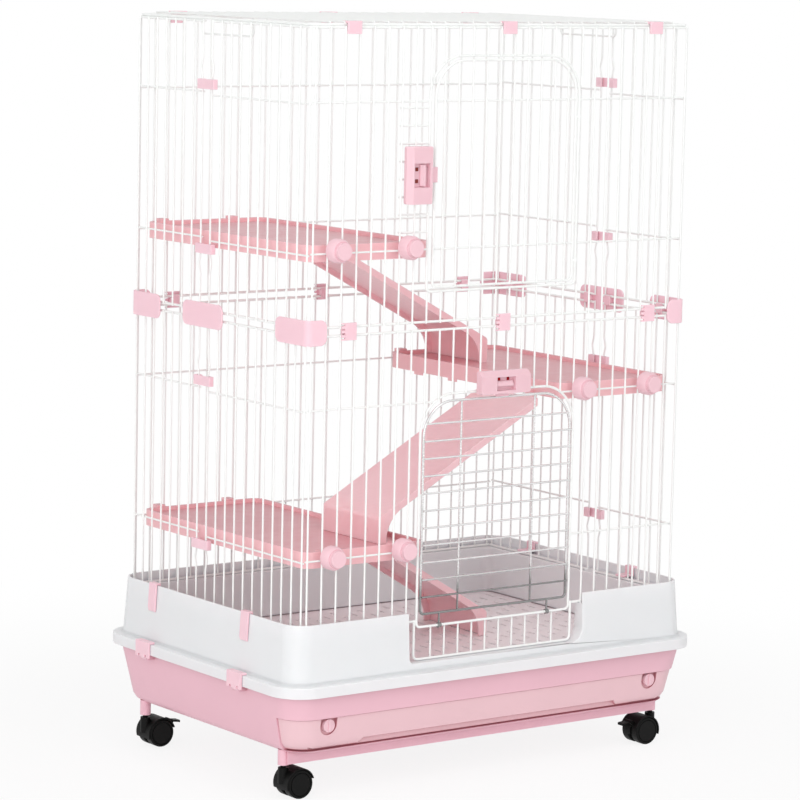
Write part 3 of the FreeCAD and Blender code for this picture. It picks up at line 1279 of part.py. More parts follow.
def brake_lever(name):
    """Foot lever that turns about a pin between two ears of the hood."""
    way = CASTER_SIDES[name][2]
    pivot = lever_pivot(name)
    half = LEVER_WIDE / 2
    eye = LEVER_PIN + 2 * BORE_FIT
    barrel = pin(pivot, Vector(0, 1, 0), LEVER_WIDE, eye + 2 * HINGE_WALL)
    top = LEVER_THICK / 2
    profile = [(0, top), (LEVER_LONG, top - LEVER_FALL), (LEVER_LONG, -top - LEVER_LIP),
               (LEVER_LONG - LEVER_THICK, -top - LEVER_FALL), (0, -top)]
    points = [pivot.add(Vector(way * x, -half, z)) for x, z in profile]
    plate = prism(points, Vector(0, LEVER_WIDE, 0))
    bore = pin(pivot, Vector(0, 1, 0), 2 * LEVER_WIDE, eye)
    return [join([barrel, plate]).cut(bore)]


def save(name, solids):
    shape = Part.makeCompound(solids)
    shape.exportStep(os.path.join("parts", name + ".step"))
    state = "valid" if shape.isValid() else "NOT VALID"
    print(name, len(solids), "solids", round(shape.Volume), "mm3", state)


os.makedirs("parts", exist_ok=True)

save("base_tub", base_tub())
save("drawer_tray", drawer_tray())
save("collar", collar())
save("floor_grate", floor_grate())
for side_name, side in (("left", -1), ("right", 1)):
    save("drawer_latch_" + side_name, drawer_latch(side))
    for end_name, end in (("front", -1), ("back", 1)):
        save("flange_clamp_" + end_name + "_" + side_name, flange_clamp(side, end))
for corner in CASTER_SIDES:
    save("caster_hood_" + corner, caster_hood(corner))
    save("caster_wheels_" + corner, caster_wheels(corner))
for corner in BRAKED:
    save("brake_lever_" + corner, brake_lever(corner))

save("upper_front_panel", upper_front())
save("lower_front_panel", lower_front())
for storey in STOREYS:
    save(storey + "_back_panel", plain_back(storey))
    for wall in ("left", "right"):
        save(storey + "_" + wall + "_panel", folding_side(wall, storey))
        for index, place in enumerate(("low", "high")):
            save("fold_sleeve_" + storey + "_" + wall + "_" + place, fold_sleeve(wall, storey, index))
save("roof_panel", roof_panel())
save("upper_door", upper_door())
save("lower_door", lower_door())
save("upper_latch_case", [set_latch(latch_case(LATCH_LONG_UPPER, LATCH_WIDE_UPPER), "upper")])
save("lower_latch_case", [set_latch(latch_case(LATCH_LONG_LOWER, LATCH_WIDE_LOWER), "lower")])
save("upper_latch_bolt", [set_latch(latch_bolt(LATCH_LONG_UPPER, BOLT_OUT_UPPER), "upper")])
save("lower_latch_bolt", [set_latch(latch_bolt(LATCH_LONG_LOWER, BOLT_OUT_LOWER), "lower")])
save("cage_clips", cage_clips())
save("section_clips", section_clips())
save("small_clips", small_clips())
save("roof_clips", roof_clips())
for index, level in enumerate(("top", "middle", "low")):
    save("platform_" + level, platform(index))
    save("ramp_" + level, ramp(index))
    for place, along in zip(("left", "right"), knob_places(index)):
        save("platform_knob_" + level + "_" + place, platform_knob(index, along))
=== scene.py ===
import bmesh
import bpy
import json
import math
from mathutils import Matrix, Vector


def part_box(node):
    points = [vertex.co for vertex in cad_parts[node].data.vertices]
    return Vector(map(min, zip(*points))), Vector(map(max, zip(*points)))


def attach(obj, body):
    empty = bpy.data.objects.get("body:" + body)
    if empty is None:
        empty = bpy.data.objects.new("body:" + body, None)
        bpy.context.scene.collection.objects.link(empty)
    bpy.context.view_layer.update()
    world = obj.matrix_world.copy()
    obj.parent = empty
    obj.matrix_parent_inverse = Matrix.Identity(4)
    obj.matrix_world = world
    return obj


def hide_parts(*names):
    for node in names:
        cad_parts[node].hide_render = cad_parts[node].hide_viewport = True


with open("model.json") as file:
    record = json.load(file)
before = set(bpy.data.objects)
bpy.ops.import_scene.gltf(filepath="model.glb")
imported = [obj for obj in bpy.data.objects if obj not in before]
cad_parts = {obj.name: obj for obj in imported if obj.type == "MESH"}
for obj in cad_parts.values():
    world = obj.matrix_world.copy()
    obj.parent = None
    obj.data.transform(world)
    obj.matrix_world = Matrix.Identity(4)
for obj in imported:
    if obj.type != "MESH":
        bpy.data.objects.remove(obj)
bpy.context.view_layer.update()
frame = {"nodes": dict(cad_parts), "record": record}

# Camera of the photograph, in metres and radians
CAMERA_PLACE = Vector((-3.2154, -4.3556, 1.2911))
CAMERA_YAW = 0.633905
CAMERA_PITCH = 0.134603
CAMERA_ROLL = 0.021394
FOCAL_PIXELS = 3437.8
IMAGE_PIXELS = 800.0
SENSOR_MM = 36.0
CLIP_END = 200.0

# Colours as sRGB shares
WHITE_WIRE = (0.965, 0.972, 0.966)
PLATED_WIRE = (0.90, 0.90, 0.90)
WHITE_COLLAR = (0.925, 0.928, 0.935)
TUB_PINK = (0.93, 0.745, 0.795)
DRAWER_PINK = (0.925, 0.775, 0.80)
PLATFORM_PINK = (0.975, 0.765, 0.785)
RAMP_PINK = (0.99, 0.80, 0.82)
CLIP_PINK = (0.99, 0.815, 0.855)
LATCH_PINK = (0.93, 0.775, 0.81)
KNOB_PINK = (0.945, 0.785, 0.82)
GRATE_PINK = (0.99, 0.972, 0.978)
CASTER_BLACK = (0.045, 0.045, 0.043)
WHEEL_BLACK = (0.052, 0.052, 0.050)
# Painted shade: the dark colours of the latch openings stand for the shade inside them
HOLE_PAINTED_SHADE = (0.50, 0.24, 0.22)
SLOT_PAINTED_SHADE = (0.62, 0.10, 0.13)
FLOOR_WHITE = (0.985, 0.985, 0.985)

# Linear tints of painted shade in seams, slits and under lips, and of painted shade on faces that look up,
# and how near another face counts as a seam, in metres
WHITE_CREVICE_SHADE = (0.72, 0.72, 0.75)
PINK_CREVICE_SHADE = (0.70, 0.42, 0.46)
SLIT_CREVICE_SHADE = (0.34, 0.16, 0.18)
CLIP_CREVICE_SHADE = (0.90, 0.76, 0.79)
# Painted shade on the platform faces that look up
PLATFORM_TOP_SHADE = (0.78, 0.69, 0.71)
CREVICE_REACH = 0.009
WIDE_REACH = 0.016
SLIT_REACH = 0.004
CREVICE_SAMPLES = 8
CREVICE_STOPS = (0.25, 0.8)
UPWARD_STOPS = (0.6, 0.95)

# Fine grain of each finish: noise scale per metre and depth in metres
WIRE_GRAIN = (900.0, 0.00012)
SHELL_GRAIN = (1400.0, 0.00005)
SMALL_GRAIN = (1400.0, 0.00004)
PLATFORM_GRAIN = (1100.0, 0.00003)
RAMP_GRAIN = (1100.0, 0.00004)
GRATE_GRAIN = (1100.0, 0.00006)
HOOD_GRAIN = (1600.0, 0.00008)
WHEEL_GRAIN = (1200.0, 0.00008)
HOLE_GRAIN = (900.0, 0.00005)
GRAIN_DETAIL = 2.0
GRAIN_STRENGTH = 0.15

# Texture of all moulded plastic and powder coat: colour drift, scuffs, soft relief, coat and glow
DRIFT_SCALE = 9.0
DRIFT_DETAIL = 5.0
SCUFF_STRETCH = (14.0, 14.0, 160.0)
SCUFF_SCALE = 3.0
SCUFF_DETAIL = 3.0
SCUFF_GLOSS = (-0.05, 0.08)
RELIEF_SCALE = 26.0
RELIEF_DETAIL = 1.0
RELIEF_DEPTH = 0.0003
RELIEF_STRENGTH = 0.04
COAT_ROUGHNESS = 0.2
GLOW_RADIUS = (1.0, 0.92, 0.92)
GLOW_DEPTH = 0.006
NOISE_ROUGHNESS = 0.55
NOISE_STOPS = (0.3, 0.7)

# Long wavy lines pressed into the ramps
WAVE_SCALE = 34.0
WAVE_DISTORTION = 5.0
WAVE_DETAIL = 2.0
WAVE_DETAIL_SCALE = 0.8
WAVE_DEPTH = 0.0008
WAVE_STRENGTH = 0.22

# Plated wire of the lower door: clouds, drawing lines, and a painted dark reflection on its foot that fades
# out between two heights in metres
CLOUD_SCALE = 24.0
CLOUD_DETAIL = 4.0
CLOUD_SHADES = (0.86, 1.06)
LINE_STRETCH = (20.0, 900.0, 900.0)
LINE_SCALE = 1.0
LINE_DETAIL = 2.0
LINE_GLOSS = (-0.07, 0.09)
LINE_DEPTH = 0.0001
LINE_STRENGTH = 0.15
PLATED_METALLIC = 0.7
FOOT_REFLECTION_SHARE = 0.36
FOOT_REFLECTION_LEVELS = (0.299, 0.33)

# Edge rounding of moulded pieces, in metres
SLIGHT_EDGE = 0.0003
FINE_EDGE = 0.0007
SOFT_EDGE = 0.001
EDGE_SEGMENTS = 2
SAME_POINT = 1e-6
FLAT_ANGLE = math.radians(1.2)
SHARP_ANGLE = math.radians(32)

# Lamps: name, place, aim and size in metres, and power in watts
LAMPS = (
    ("key", (-3.6, -2.8, 1.4), (0.0, 0.0, 0.55), 2.4, 48.0),
    ("fill", (3.2, -3.0, 1.3), (0.0, 0.0, 0.55), 2.4, 1.5),
    ("high", (-0.4, -2.4, 3.9), (0.0, 0.1, 0.3), 2.0, 22.0),
)

# World light: its level, and the share of it that comes from behind the object
WORLD_LEVEL = 0.97
BEHIND_SHARE = 0.45
FRONT_AIM = (-0.55, -0.81, -0.2)
SKY_STOPS = (0.2, 0.8)
PURE_WHITE = (1.0, 1.0, 1.0, 1.0)

# Floor: its half size in metres, and the distances over which it joins the white background
FLOOR_REACH = 60.0
FLOOR_ROUGHNESS = 0.9
FLOOR_SPECULAR = 0.1
FLOOR_GLOW_NEAR = 0.86
FLOOR_GLOW_FROM = 0.55
FLOOR_GLOW_TO = 1.5

# Openings in the door latches, painted dark as the shade inside them, in metres; rings are shares of the
# size and of the lift
CASE_END = 0.0093
BOLT_THICK = 0.0045
DECAL_LIFT = 0.00006
DECAL_RINGS = ((1.0, -6.0), (1.0, 0.0), (0.82, 0.5), (0.4, 0.2))
DECAL_STEPS = 16
DECAL_SQUARE = 0.35
HOLE_SIZE = (0.0060, 0.0058)
HOLE_APART = 0.0176
HOLE_IN = 0.0066
SLOT_SIZE = (0.0050, 0.0066)
SLOT_APART = 0.0172
SLOT_DOWN = 0.0008

# Fillet at the collar's foot: half width, half depth, corner radius and level of the foot, in metres
COLLAR_FOOT = (0.384, 0.252, 0.036, 0.182)
COVE = 0.003
COVE_ROOT = COVE / 4
COVE_STEPS = 6
CORNER_STEPS = 10


def linear(colour):
    """sRGB shares as the linear values that shaders take."""
    return tuple(c / 12.92 if c <= 0.04045 else ((c + 0.055) / 1.055) ** 2.4 for c in colour)


def shade(colour, factor):
    """Linear colour made darker or lighter by a factor."""
    return tuple(min(1.0, c * factor) for c in linear(colour)) + (1.0,)


def grey(value):
    return (value, value, value, 1.0)


def node_at(tree, kind, **values):
    node = tree.nodes.new(kind)
    for key, value in values.items():
        setattr(node, key, value)
    return node


def scaled(tree, place, scale):
    """Texture coordinates stretched by a scale for each axis."""
    node = node_at(tree, "ShaderNodeMapping")
    node.inputs["Scale"].default_value = scale
    tree.links.new(place, node.inputs["Vector"])
    return node.outputs["Vector"]


def noise(tree, place, scale, detail):
    node = node_at(tree, "ShaderNodeTexNoise")
    node.inputs["Scale"].default_value = scale
    node.inputs["Detail"].default_value = detail
    node.inputs["Roughness"].default_value = NOISE_ROUGHNESS
    tree.links.new(place, node.inputs["Vector"])
    return node.outputs["Fac"]


def ramp(tree, value, low, high, stops=NOISE_STOPS):
    """Two colours or greys across a value."""
    node = node_at(tree, "ShaderNodeValToRGB")
    first, second = node.color_ramp.elements
    first.position = stops[0]
    first.color = low
    second.position = stops[1]
    second.color = high
    tree.links.new(value, node.inputs["Fac"])
    return node.outputs["Color"]


def bumped(tree, height, distance, strength, after=None):
    node = node_at(tree, "ShaderNodeBump")
    node.inputs["Distance"].default_value = distance
    node.inputs["Strength"].default_value = strength
    tree.links.new(height, node.inputs["Height"])
    if after is not None:
        tree.links.new(after, node.inputs["Normal"])
    return node.outputs["Normal"]


def grain_waves(tree, place):
    """Height of a wood-like pattern of long wavy lines pressed into a ramp."""
    node = node_at(tree, "ShaderNodeTexWave", wave_type="BANDS", bands_direction="DIAGONAL")
    node.inputs["Scale"].default_value = WAVE_SCALE
    node.inputs["Distortion"].default_value = WAVE_DISTORTION
    node.inputs["Detail"].default_value = WAVE_DETAIL
    node.inputs["Detail Scale"].default_value = WAVE_DETAIL_SCALE
    tree.links.new(place, node.inputs["Vector"])
    return node.outputs["Fac"]


def surface(name):
    material = bpy.data.materials.new(name)
    material.use_nodes = True
    tree = material.node_tree
    place = node_at(tree, "ShaderNodeTexCoord").outputs["Object"]
    return material, tree, tree.nodes["Principled BSDF"], place


def veiled(tree, tint, veil):
    """A tint multiplied by a veil colour."""
    both = node_at(tree, "ShaderNodeMix", data_type="RGBA", blend_type="MULTIPLY")
    both.inputs["Factor"].default_value = 1.0
    tree.links.new(tint, both.inputs["A"])
    tree.links.new(veil, both.inputs["B"])
    return both.outputs["Result"]


def painted_crevice_shade(tree, tint, crevice_shade, reach):
    """A tint darkened by painted shade in seams and under lips, where ambient occlusion finds other faces
    near.
    """
    near = node_at(tree, "ShaderNodeAmbientOcclusion", samples=CREVICE_SAMPLES)
    near.inputs["Distance"].default_value = reach
    return veiled(tree, tint, ramp(tree, near.outputs["AO"], crevice_shade + (1.0,), grey(1.0), CREVICE_STOPS))


def upward(tree, vector):
    """Height part of a vector."""
    split = node_at(tree, "ShaderNodeSeparateXYZ")
    tree.links.new(vector, split.inputs[0])
    return split.outputs["Z"]


def painted_top_shade(tree, tint, top_shade):
    """A tint darkened by painted shade on faces that look up, for light that falls mostly from the front."""
    rise = upward(tree, node_at(tree, "ShaderNodeTexCoord").outputs["Normal"])
    return veiled(tree, tint, ramp(tree, rise, grey(1.0), top_shade + (1.0,), UPWARD_STOPS))


def moulded(name, colour, gloss, grain, mottle, specular=0.4, coat=0.0, waves=False,
            crevice_shade=None, reach=CREVICE_REACH, glow=0.0, top_shade=None):
    """Moulded plastic or powder coat: slow colour drift, faint scuffs, fine grain and uneven gloss, with
    painted shade in crevices and on faces that look up where asked.
    """
    material, tree, shader, place = surface(name)
    drift = noise(tree, place, DRIFT_SCALE, DRIFT_DETAIL)
    tint = ramp(tree, drift, shade(colour, 1.0 - mottle), shade(colour, 1.0 + mottle))
    # Painted shade in seams and under lips
    if crevice_shade is not None:
        tint = painted_crevice_shade(tree, tint, crevice_shade, reach)
    # Painted shade on faces that look up
    if top_shade is not None:
        tint = painted_top_shade(tree, tint, top_shade)
    tree.links.new(tint, shader.inputs["Base Color"])
    shader.inputs["Subsurface Weight"].default_value = glow
    shader.inputs["Subsurface Radius"].default_value = GLOW_RADIUS
    shader.inputs["Subsurface Scale"].default_value = GLOW_DEPTH
    scuffs = noise(tree, scaled(tree, place, SCUFF_STRETCH), SCUFF_SCALE, SCUFF_DETAIL)
    wear = ramp(tree, scuffs, grey(gloss + SCUFF_GLOSS[0]), grey(gloss + SCUFF_GLOSS[1]))
    tree.links.new(wear, shader.inputs["Roughness"])
    relief = bumped(tree, noise(tree, place, RELIEF_SCALE, RELIEF_DETAIL), RELIEF_DEPTH, RELIEF_STRENGTH)
    if waves:
        relief = bumped(tree, grain_waves(tree, place), WAVE_DEPTH, WAVE_STRENGTH, relief)
    scale, depth = grain
    pits = noise(tree, place, scale, GRAIN_DETAIL)
    tree.links.new(bumped(tree, pits, depth, GRAIN_STRENGTH, relief), shader.inputs["Normal"])
    shader.inputs["Specular IOR Level"].default_value = specular
    shader.inputs["Coat Weight"].default_value = coat
    shader.inputs["Coat Roughness"].default_value = COAT_ROUGHNESS
    return material


def plated(name, colour, gloss):
    """Bright plated wire with drawing lines and a slight cloudiness, and a painted dark reflection near its
    foot.
    """
    material, tree, shader, place = surface(name)
    cloud = noise(tree, place, CLOUD_SCALE, CLOUD_DETAIL)
    tint = ramp(tree, cloud, shade(colour, CLOUD_SHADES[0]), shade(colour, CLOUD_SHADES[1]))
    # Painted dark reflection near the wire's foot
    painted_foot_reflection = ramp(tree, upward(tree, place), grey(FOOT_REFLECTION_SHARE), grey(1.0), FOOT_REFLECTION_LEVELS)
    tree.links.new(veiled(tree, tint, painted_foot_reflection), shader.inputs["Base Color"])
    lines = noise(tree, scaled(tree, place, LINE_STRETCH), LINE_SCALE, LINE_DETAIL)
    drawn = ramp(tree, lines, grey(gloss + LINE_GLOSS[0]), grey(gloss + LINE_GLOSS[1]))
    tree.links.new(drawn, shader.inputs["Roughness"])
    tree.links.new(bumped(tree, lines, LINE_DEPTH, LINE_STRENGTH), shader.inputs["Normal"])
    shader.inputs["Metallic"].default_value = PLATED_METALLIC
    return material


# Tints given for crevices add painted shade in seams, slits and under lips; the platform's top gets painted
# shade too
MATERIALS = {
    "white_wire": moulded("white_wire", WHITE_WIRE, gloss=0.36, grain=WIRE_GRAIN, mottle=0.012, coat=0.12),
    "plated_wire": plated("plated_wire", PLATED_WIRE, gloss=0.24),
    "white_plastic": moulded("white_plastic", WHITE_COLLAR, gloss=0.40, grain=SHELL_GRAIN, mottle=0.012,
                             crevice_shade=WHITE_CREVICE_SHADE, glow=0.5),
    "tub_plastic": moulded("tub_plastic", TUB_PINK, gloss=0.42, grain=SHELL_GRAIN, mottle=0.018,
                           crevice_shade=PINK_CREVICE_SHADE, reach=WIDE_REACH),
    "drawer_plastic": moulded("drawer_plastic", DRAWER_PINK, gloss=0.42, grain=SHELL_GRAIN, mottle=0.018,
                              crevice_shade=PINK_CREVICE_SHADE, reach=WIDE_REACH),
    "platform_plastic": moulded("platform_plastic", PLATFORM_PINK, gloss=0.38, grain=PLATFORM_GRAIN,
                                mottle=0.02, glow=0.3, top_shade=PLATFORM_TOP_SHADE),
    "ramp_plastic": moulded("ramp_plastic", RAMP_PINK, gloss=0.38, grain=RAMP_GRAIN, mottle=0.02,
                            waves=True, glow=0.6),
    "clip_plastic": moulded("clip_plastic", CLIP_PINK, gloss=0.36, grain=SMALL_GRAIN, mottle=0.018,
                            crevice_shade=CLIP_CREVICE_SHADE, glow=0.4),
    "latch_plastic": moulded("latch_plastic", LATCH_PINK, gloss=0.36, grain=SMALL_GRAIN, mottle=0.018,
                             glow=0.3),
    "knob_plastic": moulded("knob_plastic", KNOB_PINK, gloss=0.36, grain=SMALL_GRAIN, mottle=0.018,
                            crevice_shade=PINK_CREVICE_SHADE),
    "grate_plastic": moulded("grate_plastic", GRATE_PINK, gloss=0.40, grain=GRATE_GRAIN, mottle=0.02,
                             crevice_shade=SLIT_CREVICE_SHADE, reach=SLIT_REACH),
    "caster_plastic": moulded("caster_plastic", CASTER_BLACK, gloss=0.46, grain=HOOD_GRAIN, mottle=0.15,
                              specular=0.14),
    "wheel_plastic": moulded("wheel_plastic", WHEEL_BLACK, gloss=0.42, grain=WHEEL_GRAIN, mottle=0.15,
                             specular=0.12),
    # Painted shade for the latch openings
    "hole_shade": moulded("hole_shade", HOLE_PAINTED_SHADE, gloss=0.7, grain=HOLE_GRAIN, mottle=0.2, specular=0.1),
    "slot_shade": moulded("slot_shade", SLOT_PAINTED_SHADE, gloss=0.6, grain=HOLE_GRAIN, mottle=0.2, specular=0.1),
}
SLOTS = {part["node"]: part["material_slot"] for part in frame["record"]["subparts"]}
BODIES = {node: body for body, nodes in frame["record"]["behaviour"]["bodies"].items() for node in nodes}


def finish_of(node):
    """Material that a node shows: its slot's, or a closer one for the ramps and the plated door."""
    if node == "lower_door":
        return "plated_wire"
    if node.startswith("ramp_"):
        return "ramp_plastic"
    return SLOTS[node]


def paint(obj, material):
    obj.data.materials.clear()
    obj.data.materials.append(MATERIALS[material])


def new_piece(name, points, faces, material, body):
    mesh = bpy.data.meshes.new(name)
    mesh.from_pydata(points, [], faces)
    mesh.polygons.foreach_set("use_smooth", [True] * len(mesh.polygons))
    obj = bpy.data.objects.new(name, mesh)
    bpy.context.scene.collection.objects.link(obj)
    paint(obj, material)
    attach(obj, body)
    return obj


def softened(node, width):
    """A copy of a moulded node with rounded edges, shown in place of the node."""
    bm = bmesh.new()
    bm.from_mesh(frame["nodes"][node].data)
    bmesh.ops.remove_doubles(bm, verts=bm.verts, dist=SAME_POINT)
    bmesh.ops.dissolve_limit(bm, angle_limit=FLAT_ANGLE, verts=bm.verts, edges=bm.edges)
    bmesh.ops.connect_verts_concave(bm, faces=bm.faces)
    bm.verts.index_update()
    points = [v.co.copy() for v in bm.verts]
    faces = [[v.index for v in f.verts] for f in bm.faces]
    bm.free()
    obj = new_piece(node + "_soft", points, faces, finish_of(node), BODIES[node])
    bevel = obj.modifiers.new("edges", "BEVEL")
    bevel.width = width
    bevel.segments = EDGE_SEGMENTS
    bevel.limit_method = "ANGLE"
    bevel.angle_limit = SHARP_ANGLE
    bevel.harden_normals = True
    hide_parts(node)


def edge_of(node):
    """Edge rounding that suits a node, or None where its own mesh is shown."""
    slot = SLOTS[node]
    if slot in ("white_wire", "grate_plastic"):
        return None
    if node in ("base_tub", "drawer_tray", "collar", "section_clips"):
        return SOFT_EDGE
    if "latch" in node:
        return SLIGHT_EDGE
    return FINE_EDGE


def decal(name, x, z, y, size, material, body):
    """Small opening on a front face: a closed plug painted dark as the shade inside the opening, with a
    rounded rim and a sunk middle.
    """
    half_x, half_z = size[0] / 2, size[1] / 2
    points = []
    for share, depth in DECAL_RINGS:
        for i in range(DECAL_STEPS):
            turn = math.tau * (i + 0.5) / DECAL_STEPS
            u = math.copysign(abs(math.cos(turn)) ** DECAL_SQUARE, math.cos(turn))
            v = math.copysign(abs(math.sin(turn)) ** DECAL_SQUARE, math.sin(turn))
            points.append((x + u * share * half_x, y - DECAL_LIFT * depth, z + v * share * half_z))
    faces = [tuple(reversed(range(DECAL_STEPS)))]
    top = (len(DECAL_RINGS) - 1) * DECAL_STEPS
    for start in range(0, top, DECAL_STEPS):
        for i in range(DECAL_STEPS):
            j = (i + 1) % DECAL_STEPS
            above = start + DECAL_STEPS
            faces.append((start + i, start + j, above + j, above + i))
    faces.append(tuple(range(top, top + DECAL_STEPS)))
    new_piece(name, points, faces, material, body)


def bolt_face(bolt):
    """Depth of the plate of a latch bolt, just in front of its surface."""
    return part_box(bolt)[1][1] - BOLT_THICK - DECAL_LIFT


def latch_openings():
    """Two openings in each door latch, on the bolt beside its grip, painted dark as shade."""
    low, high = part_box("upper_latch_case")
    x = low[0] + CASE_END + HOLE_IN + HOLE_SIZE[0] / 2
    middle = (low[2] + high[2]) / 2
    for i, side in enumerate((-1, 1)):
        decal("upper_latch_hole_%d" % i, x, middle + side * HOLE_APART / 2, bolt_face("upper_latch_bolt"),
              HOLE_SIZE, "hole_shade", "upper_latch_bolt")
    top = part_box("lower_latch_case")[1][2]
    z = top - CASE_END - SLOT_DOWN - SLOT_SIZE[1] / 2
    for i, side in enumerate((-1, 1)):
        decal("lower_latch_slot_%d" % i, side * SLOT_APART / 2, z, bolt_face("lower_latch_bolt"),
              SLOT_SIZE, "slot_shade", "lower_latch_bolt")


def outline_points(half_x, half_y, radius, steps):
    """Rounded rectangle as points with their outward directions."""
    points = []
    for sx, sy, start in ((1, 1, 0), (-1, 1, 90), (-1, -1, 180), (1, -1, 270)):
        for i in range(steps + 1):
            turn = math.radians(start + 90 * i / steps)
            out = Vector((math.cos(turn), math.sin(turn), 0.0))
            centre = Vector((sx * (half_x - radius), sy * (half_y - radius), 0.0))
            points.append((centre + out * radius, out))
    return points


def collar_cove():
    """Concave fillet where the collar's wall stands on its flange."""
    half_x, half_y, radius, level = COLLAR_FOOT
    profile = []
    for i in range(COVE_STEPS + 1):
        turn = math.radians(90 * i / COVE_STEPS)
        profile.append((COVE * (1 - math.sin(turn)), COVE * (1 - math.cos(turn))))
    profile.append((-COVE_ROOT, COVE))
    profile.append((-COVE_ROOT, -COVE_ROOT))
    profile.append((COVE, -COVE_ROOT))
    ring = outline_points(half_x, half_y, radius, CORNER_STEPS)
    points = [p + out * step + Vector((0, 0, level + rise)) for p, out in ring for step, rise in profile]
    count = len(profile)
    faces = []
    for i in range(len(ring)):
        j = (i + 1) % len(ring)
        for k in range(count):
            n = (k + 1) % count
            faces.append((i * count + k, j * count + k, j * count + n, i * count + n))
    new_piece("collar_cove", points, faces, "white_plastic", "cage")


def dress_nodes():
    """Rounded copies of the moulded nodes, and a finish on the nodes that show as they are."""
    for name, cad in frame["nodes"].items():
        edge = edge_of(name)
        if edge is None:
            paint(cad, finish_of(name))
        else:
            softened(name, edge)


def seen_rays(tree):
    """One for camera, glossy and transmission rays, else nought."""
    path = node_at(tree, "ShaderNodeLightPath")
    first = node_at(tree, "ShaderNodeMath", operation="MAXIMUM")
    tree.links.new(path.outputs["Is Camera Ray"], first.inputs[0])
    tree.links.new(path.outputs["Is Glossy Ray"], first.inputs[1])
    both = node_at(tree, "ShaderNodeMath", operation="MAXIMUM")
    tree.links.new(first.outputs[0], both.inputs[0])
    tree.links.new(path.outputs["Is Transmission Ray"], both.inputs[1])
    return both.outputs[0]


def stage_floor():
    """White floor that keeps the object's shadow and joins the white background."""
    reach = FLOOR_REACH
    corners = [(-reach, -reach, 0), (reach, -reach, 0), (reach, reach, 0), (-reach, reach, 0)]
    mesh = bpy.data.meshes.new("studio_floor")
    mesh.from_pydata(corners, [], [(0, 1, 2, 3)])
    mesh.materials.append(floor_finish())
    floor = bpy.data.objects.new("studio_floor", mesh)
    bpy.context.scene.collection.objects.link(floor)


def floor_finish():
    """White floor paint that turns to the background's white away from the object."""
    material = bpy.data.materials.new("studio_floor")
    material.use_nodes = True
    tree = material.node_tree
    shader = tree.nodes["Principled BSDF"]
    shader.inputs["Base Color"].default_value = shade(FLOOR_WHITE, 1.0)
    shader.inputs["Roughness"].default_value = FLOOR_ROUGHNESS
    shader.inputs["Specular IOR Level"].default_value = FLOOR_SPECULAR
    glow = node_at(tree, "ShaderNodeEmission")
    glow.inputs["Color"].default_value = PURE_WHITE
    away = node_at(tree, "ShaderNodeVectorMath", operation="LENGTH")
    tree.links.new(node_at(tree, "ShaderNodeNewGeometry").outputs["Position"], away.inputs[0])
    spread = node_at(tree, "ShaderNodeMapRange", interpolation_type="SMOOTHSTEP")
    spread.inputs["From Min"].default_value = FLOOR_GLOW_FROM
    spread.inputs["From Max"].default_value = FLOOR_GLOW_TO
    spread.inputs["To Min"].default_value = FLOOR_GLOW_NEAR
    spread.inputs["To Max"].default_value = 1.0
    tree.links.new(away.outputs["Value"], spread.inputs["Value"])
    share = node_at(tree, "ShaderNodeMath", operation="MULTIPLY")
    tree.links.new(seen_rays(tree), share.inputs[0])
    tree.links.new(spread.outputs["Result"], share.inputs[1])
    mix = node_at(tree, "ShaderNodeMixShader")
    tree.links.new(share.outputs[0], mix.inputs["Fac"])
    tree.links.new(shader.outputs[0], mix.inputs[1])
    tree.links.new(glow.outputs[0], mix.inputs[2])
    tree.links.new(mix.outputs[0], tree.nodes["Material Output"].inputs["Surface"])
    return material


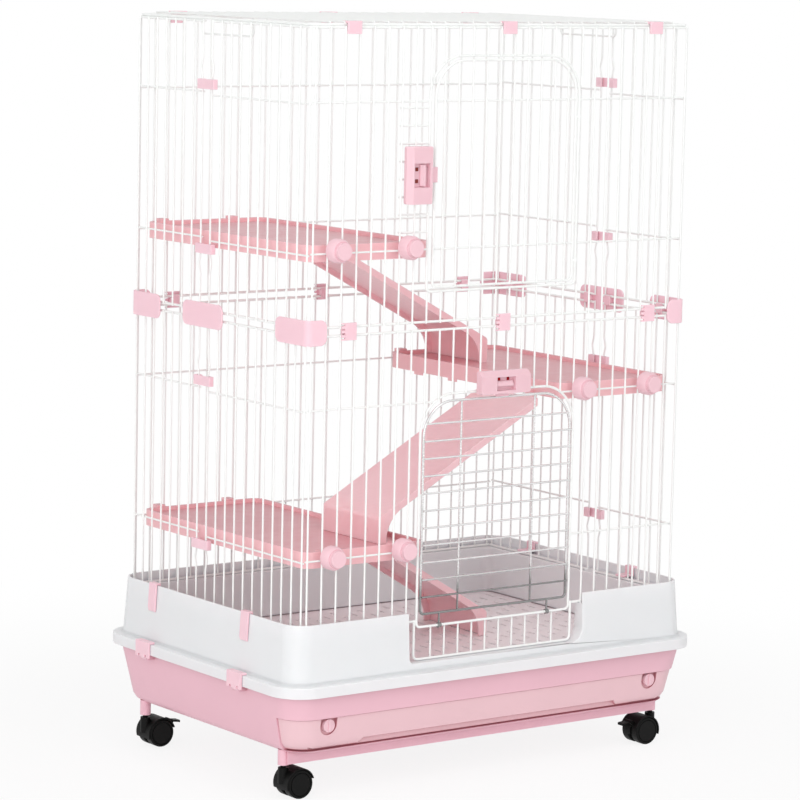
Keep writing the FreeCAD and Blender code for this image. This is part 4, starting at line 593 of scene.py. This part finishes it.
def world_light():
    """Soft light, mostly from the front, with a white background for the camera and for reflections."""
    world = bpy.data.worlds.new("studio")
    bpy.context.scene.world = world
    world.use_nodes = True
    tree = world.node_tree
    ambient = tree.nodes["Background"]
    facing = node_at(tree, "ShaderNodeVectorMath", operation="DOT_PRODUCT")
    facing.inputs[1].default_value = FRONT_AIM
    tree.links.new(node_at(tree, "ShaderNodeTexCoord").outputs["Generated"], facing.inputs[0])
    spread = node_at(tree, "ShaderNodeMapRange")
    spread.inputs["From Min"].default_value = -1.0
    tree.links.new(facing.outputs["Value"], spread.inputs["Value"])
    sky = ramp(tree, spread.outputs["Result"], grey(BEHIND_SHARE), grey(1.0), SKY_STOPS)
    tree.links.new(sky, ambient.inputs["Color"])
    ambient.inputs["Strength"].default_value = WORLD_LEVEL
    white = node_at(tree, "ShaderNodeBackground")
    white.inputs["Color"].default_value = PURE_WHITE
    mix = node_at(tree, "ShaderNodeMixShader")
    tree.links.new(seen_rays(tree), mix.inputs["Fac"])
    tree.links.new(ambient.outputs[0], mix.inputs[1])
    tree.links.new(white.outputs[0], mix.inputs[2])
    tree.links.new(mix.outputs[0], tree.nodes["World Output"].inputs["Surface"])


def soft_box(name, place, target, size, watts):
    """Square area lamp turned towards a point."""
    lamp = bpy.data.lights.new(name, "AREA")
    lamp.shape = "RECTANGLE"
    lamp.size = size
    lamp.size_y = size
    lamp.energy = watts
    obj = bpy.data.objects.new(name, lamp)
    obj.location = place
    aim = Vector(target) - Vector(place)
    obj.rotation_euler = aim.to_track_quat("-Z", "Y").to_euler()
    bpy.context.scene.collection.objects.link(obj)


def photo_camera():
    """Camera at the photograph's place, turned by its yaw, pitch and roll."""
    sin, cos = math.sin, math.cos
    flat = cos(CAMERA_PITCH)
    ahead = Vector((sin(CAMERA_YAW) * flat, cos(CAMERA_YAW) * flat, -sin(CAMERA_PITCH)))
    level = Vector((cos(CAMERA_YAW), -sin(CAMERA_YAW), 0.0))
    above = level.cross(ahead)
    right = level * cos(CAMERA_ROLL) + above * sin(CAMERA_ROLL)
    up = above * cos(CAMERA_ROLL) - level * sin(CAMERA_ROLL)
    lens = bpy.data.cameras.new("photo_camera")
    lens.sensor_fit = "HORIZONTAL"
    lens.sensor_width = SENSOR_MM
    lens.lens = FOCAL_PIXELS / IMAGE_PIXELS * SENSOR_MM
    lens.clip_end = CLIP_END
    camera = bpy.data.objects.new("photo_camera", lens)
    turn = Matrix((right, up, -ahead)).transposed()
    camera.matrix_world = Matrix.Translation(CAMERA_PLACE) @ turn.to_4x4()
    bpy.context.scene.collection.objects.link(camera)
    bpy.context.scene.camera = camera


dress_nodes()
latch_openings()
collar_cove()
stage_floor()
world_light()
for lamp in LAMPS:
    soft_box(*lamp)
photo_camera()
bpy.context.scene.view_settings.view_transform = "Standard"
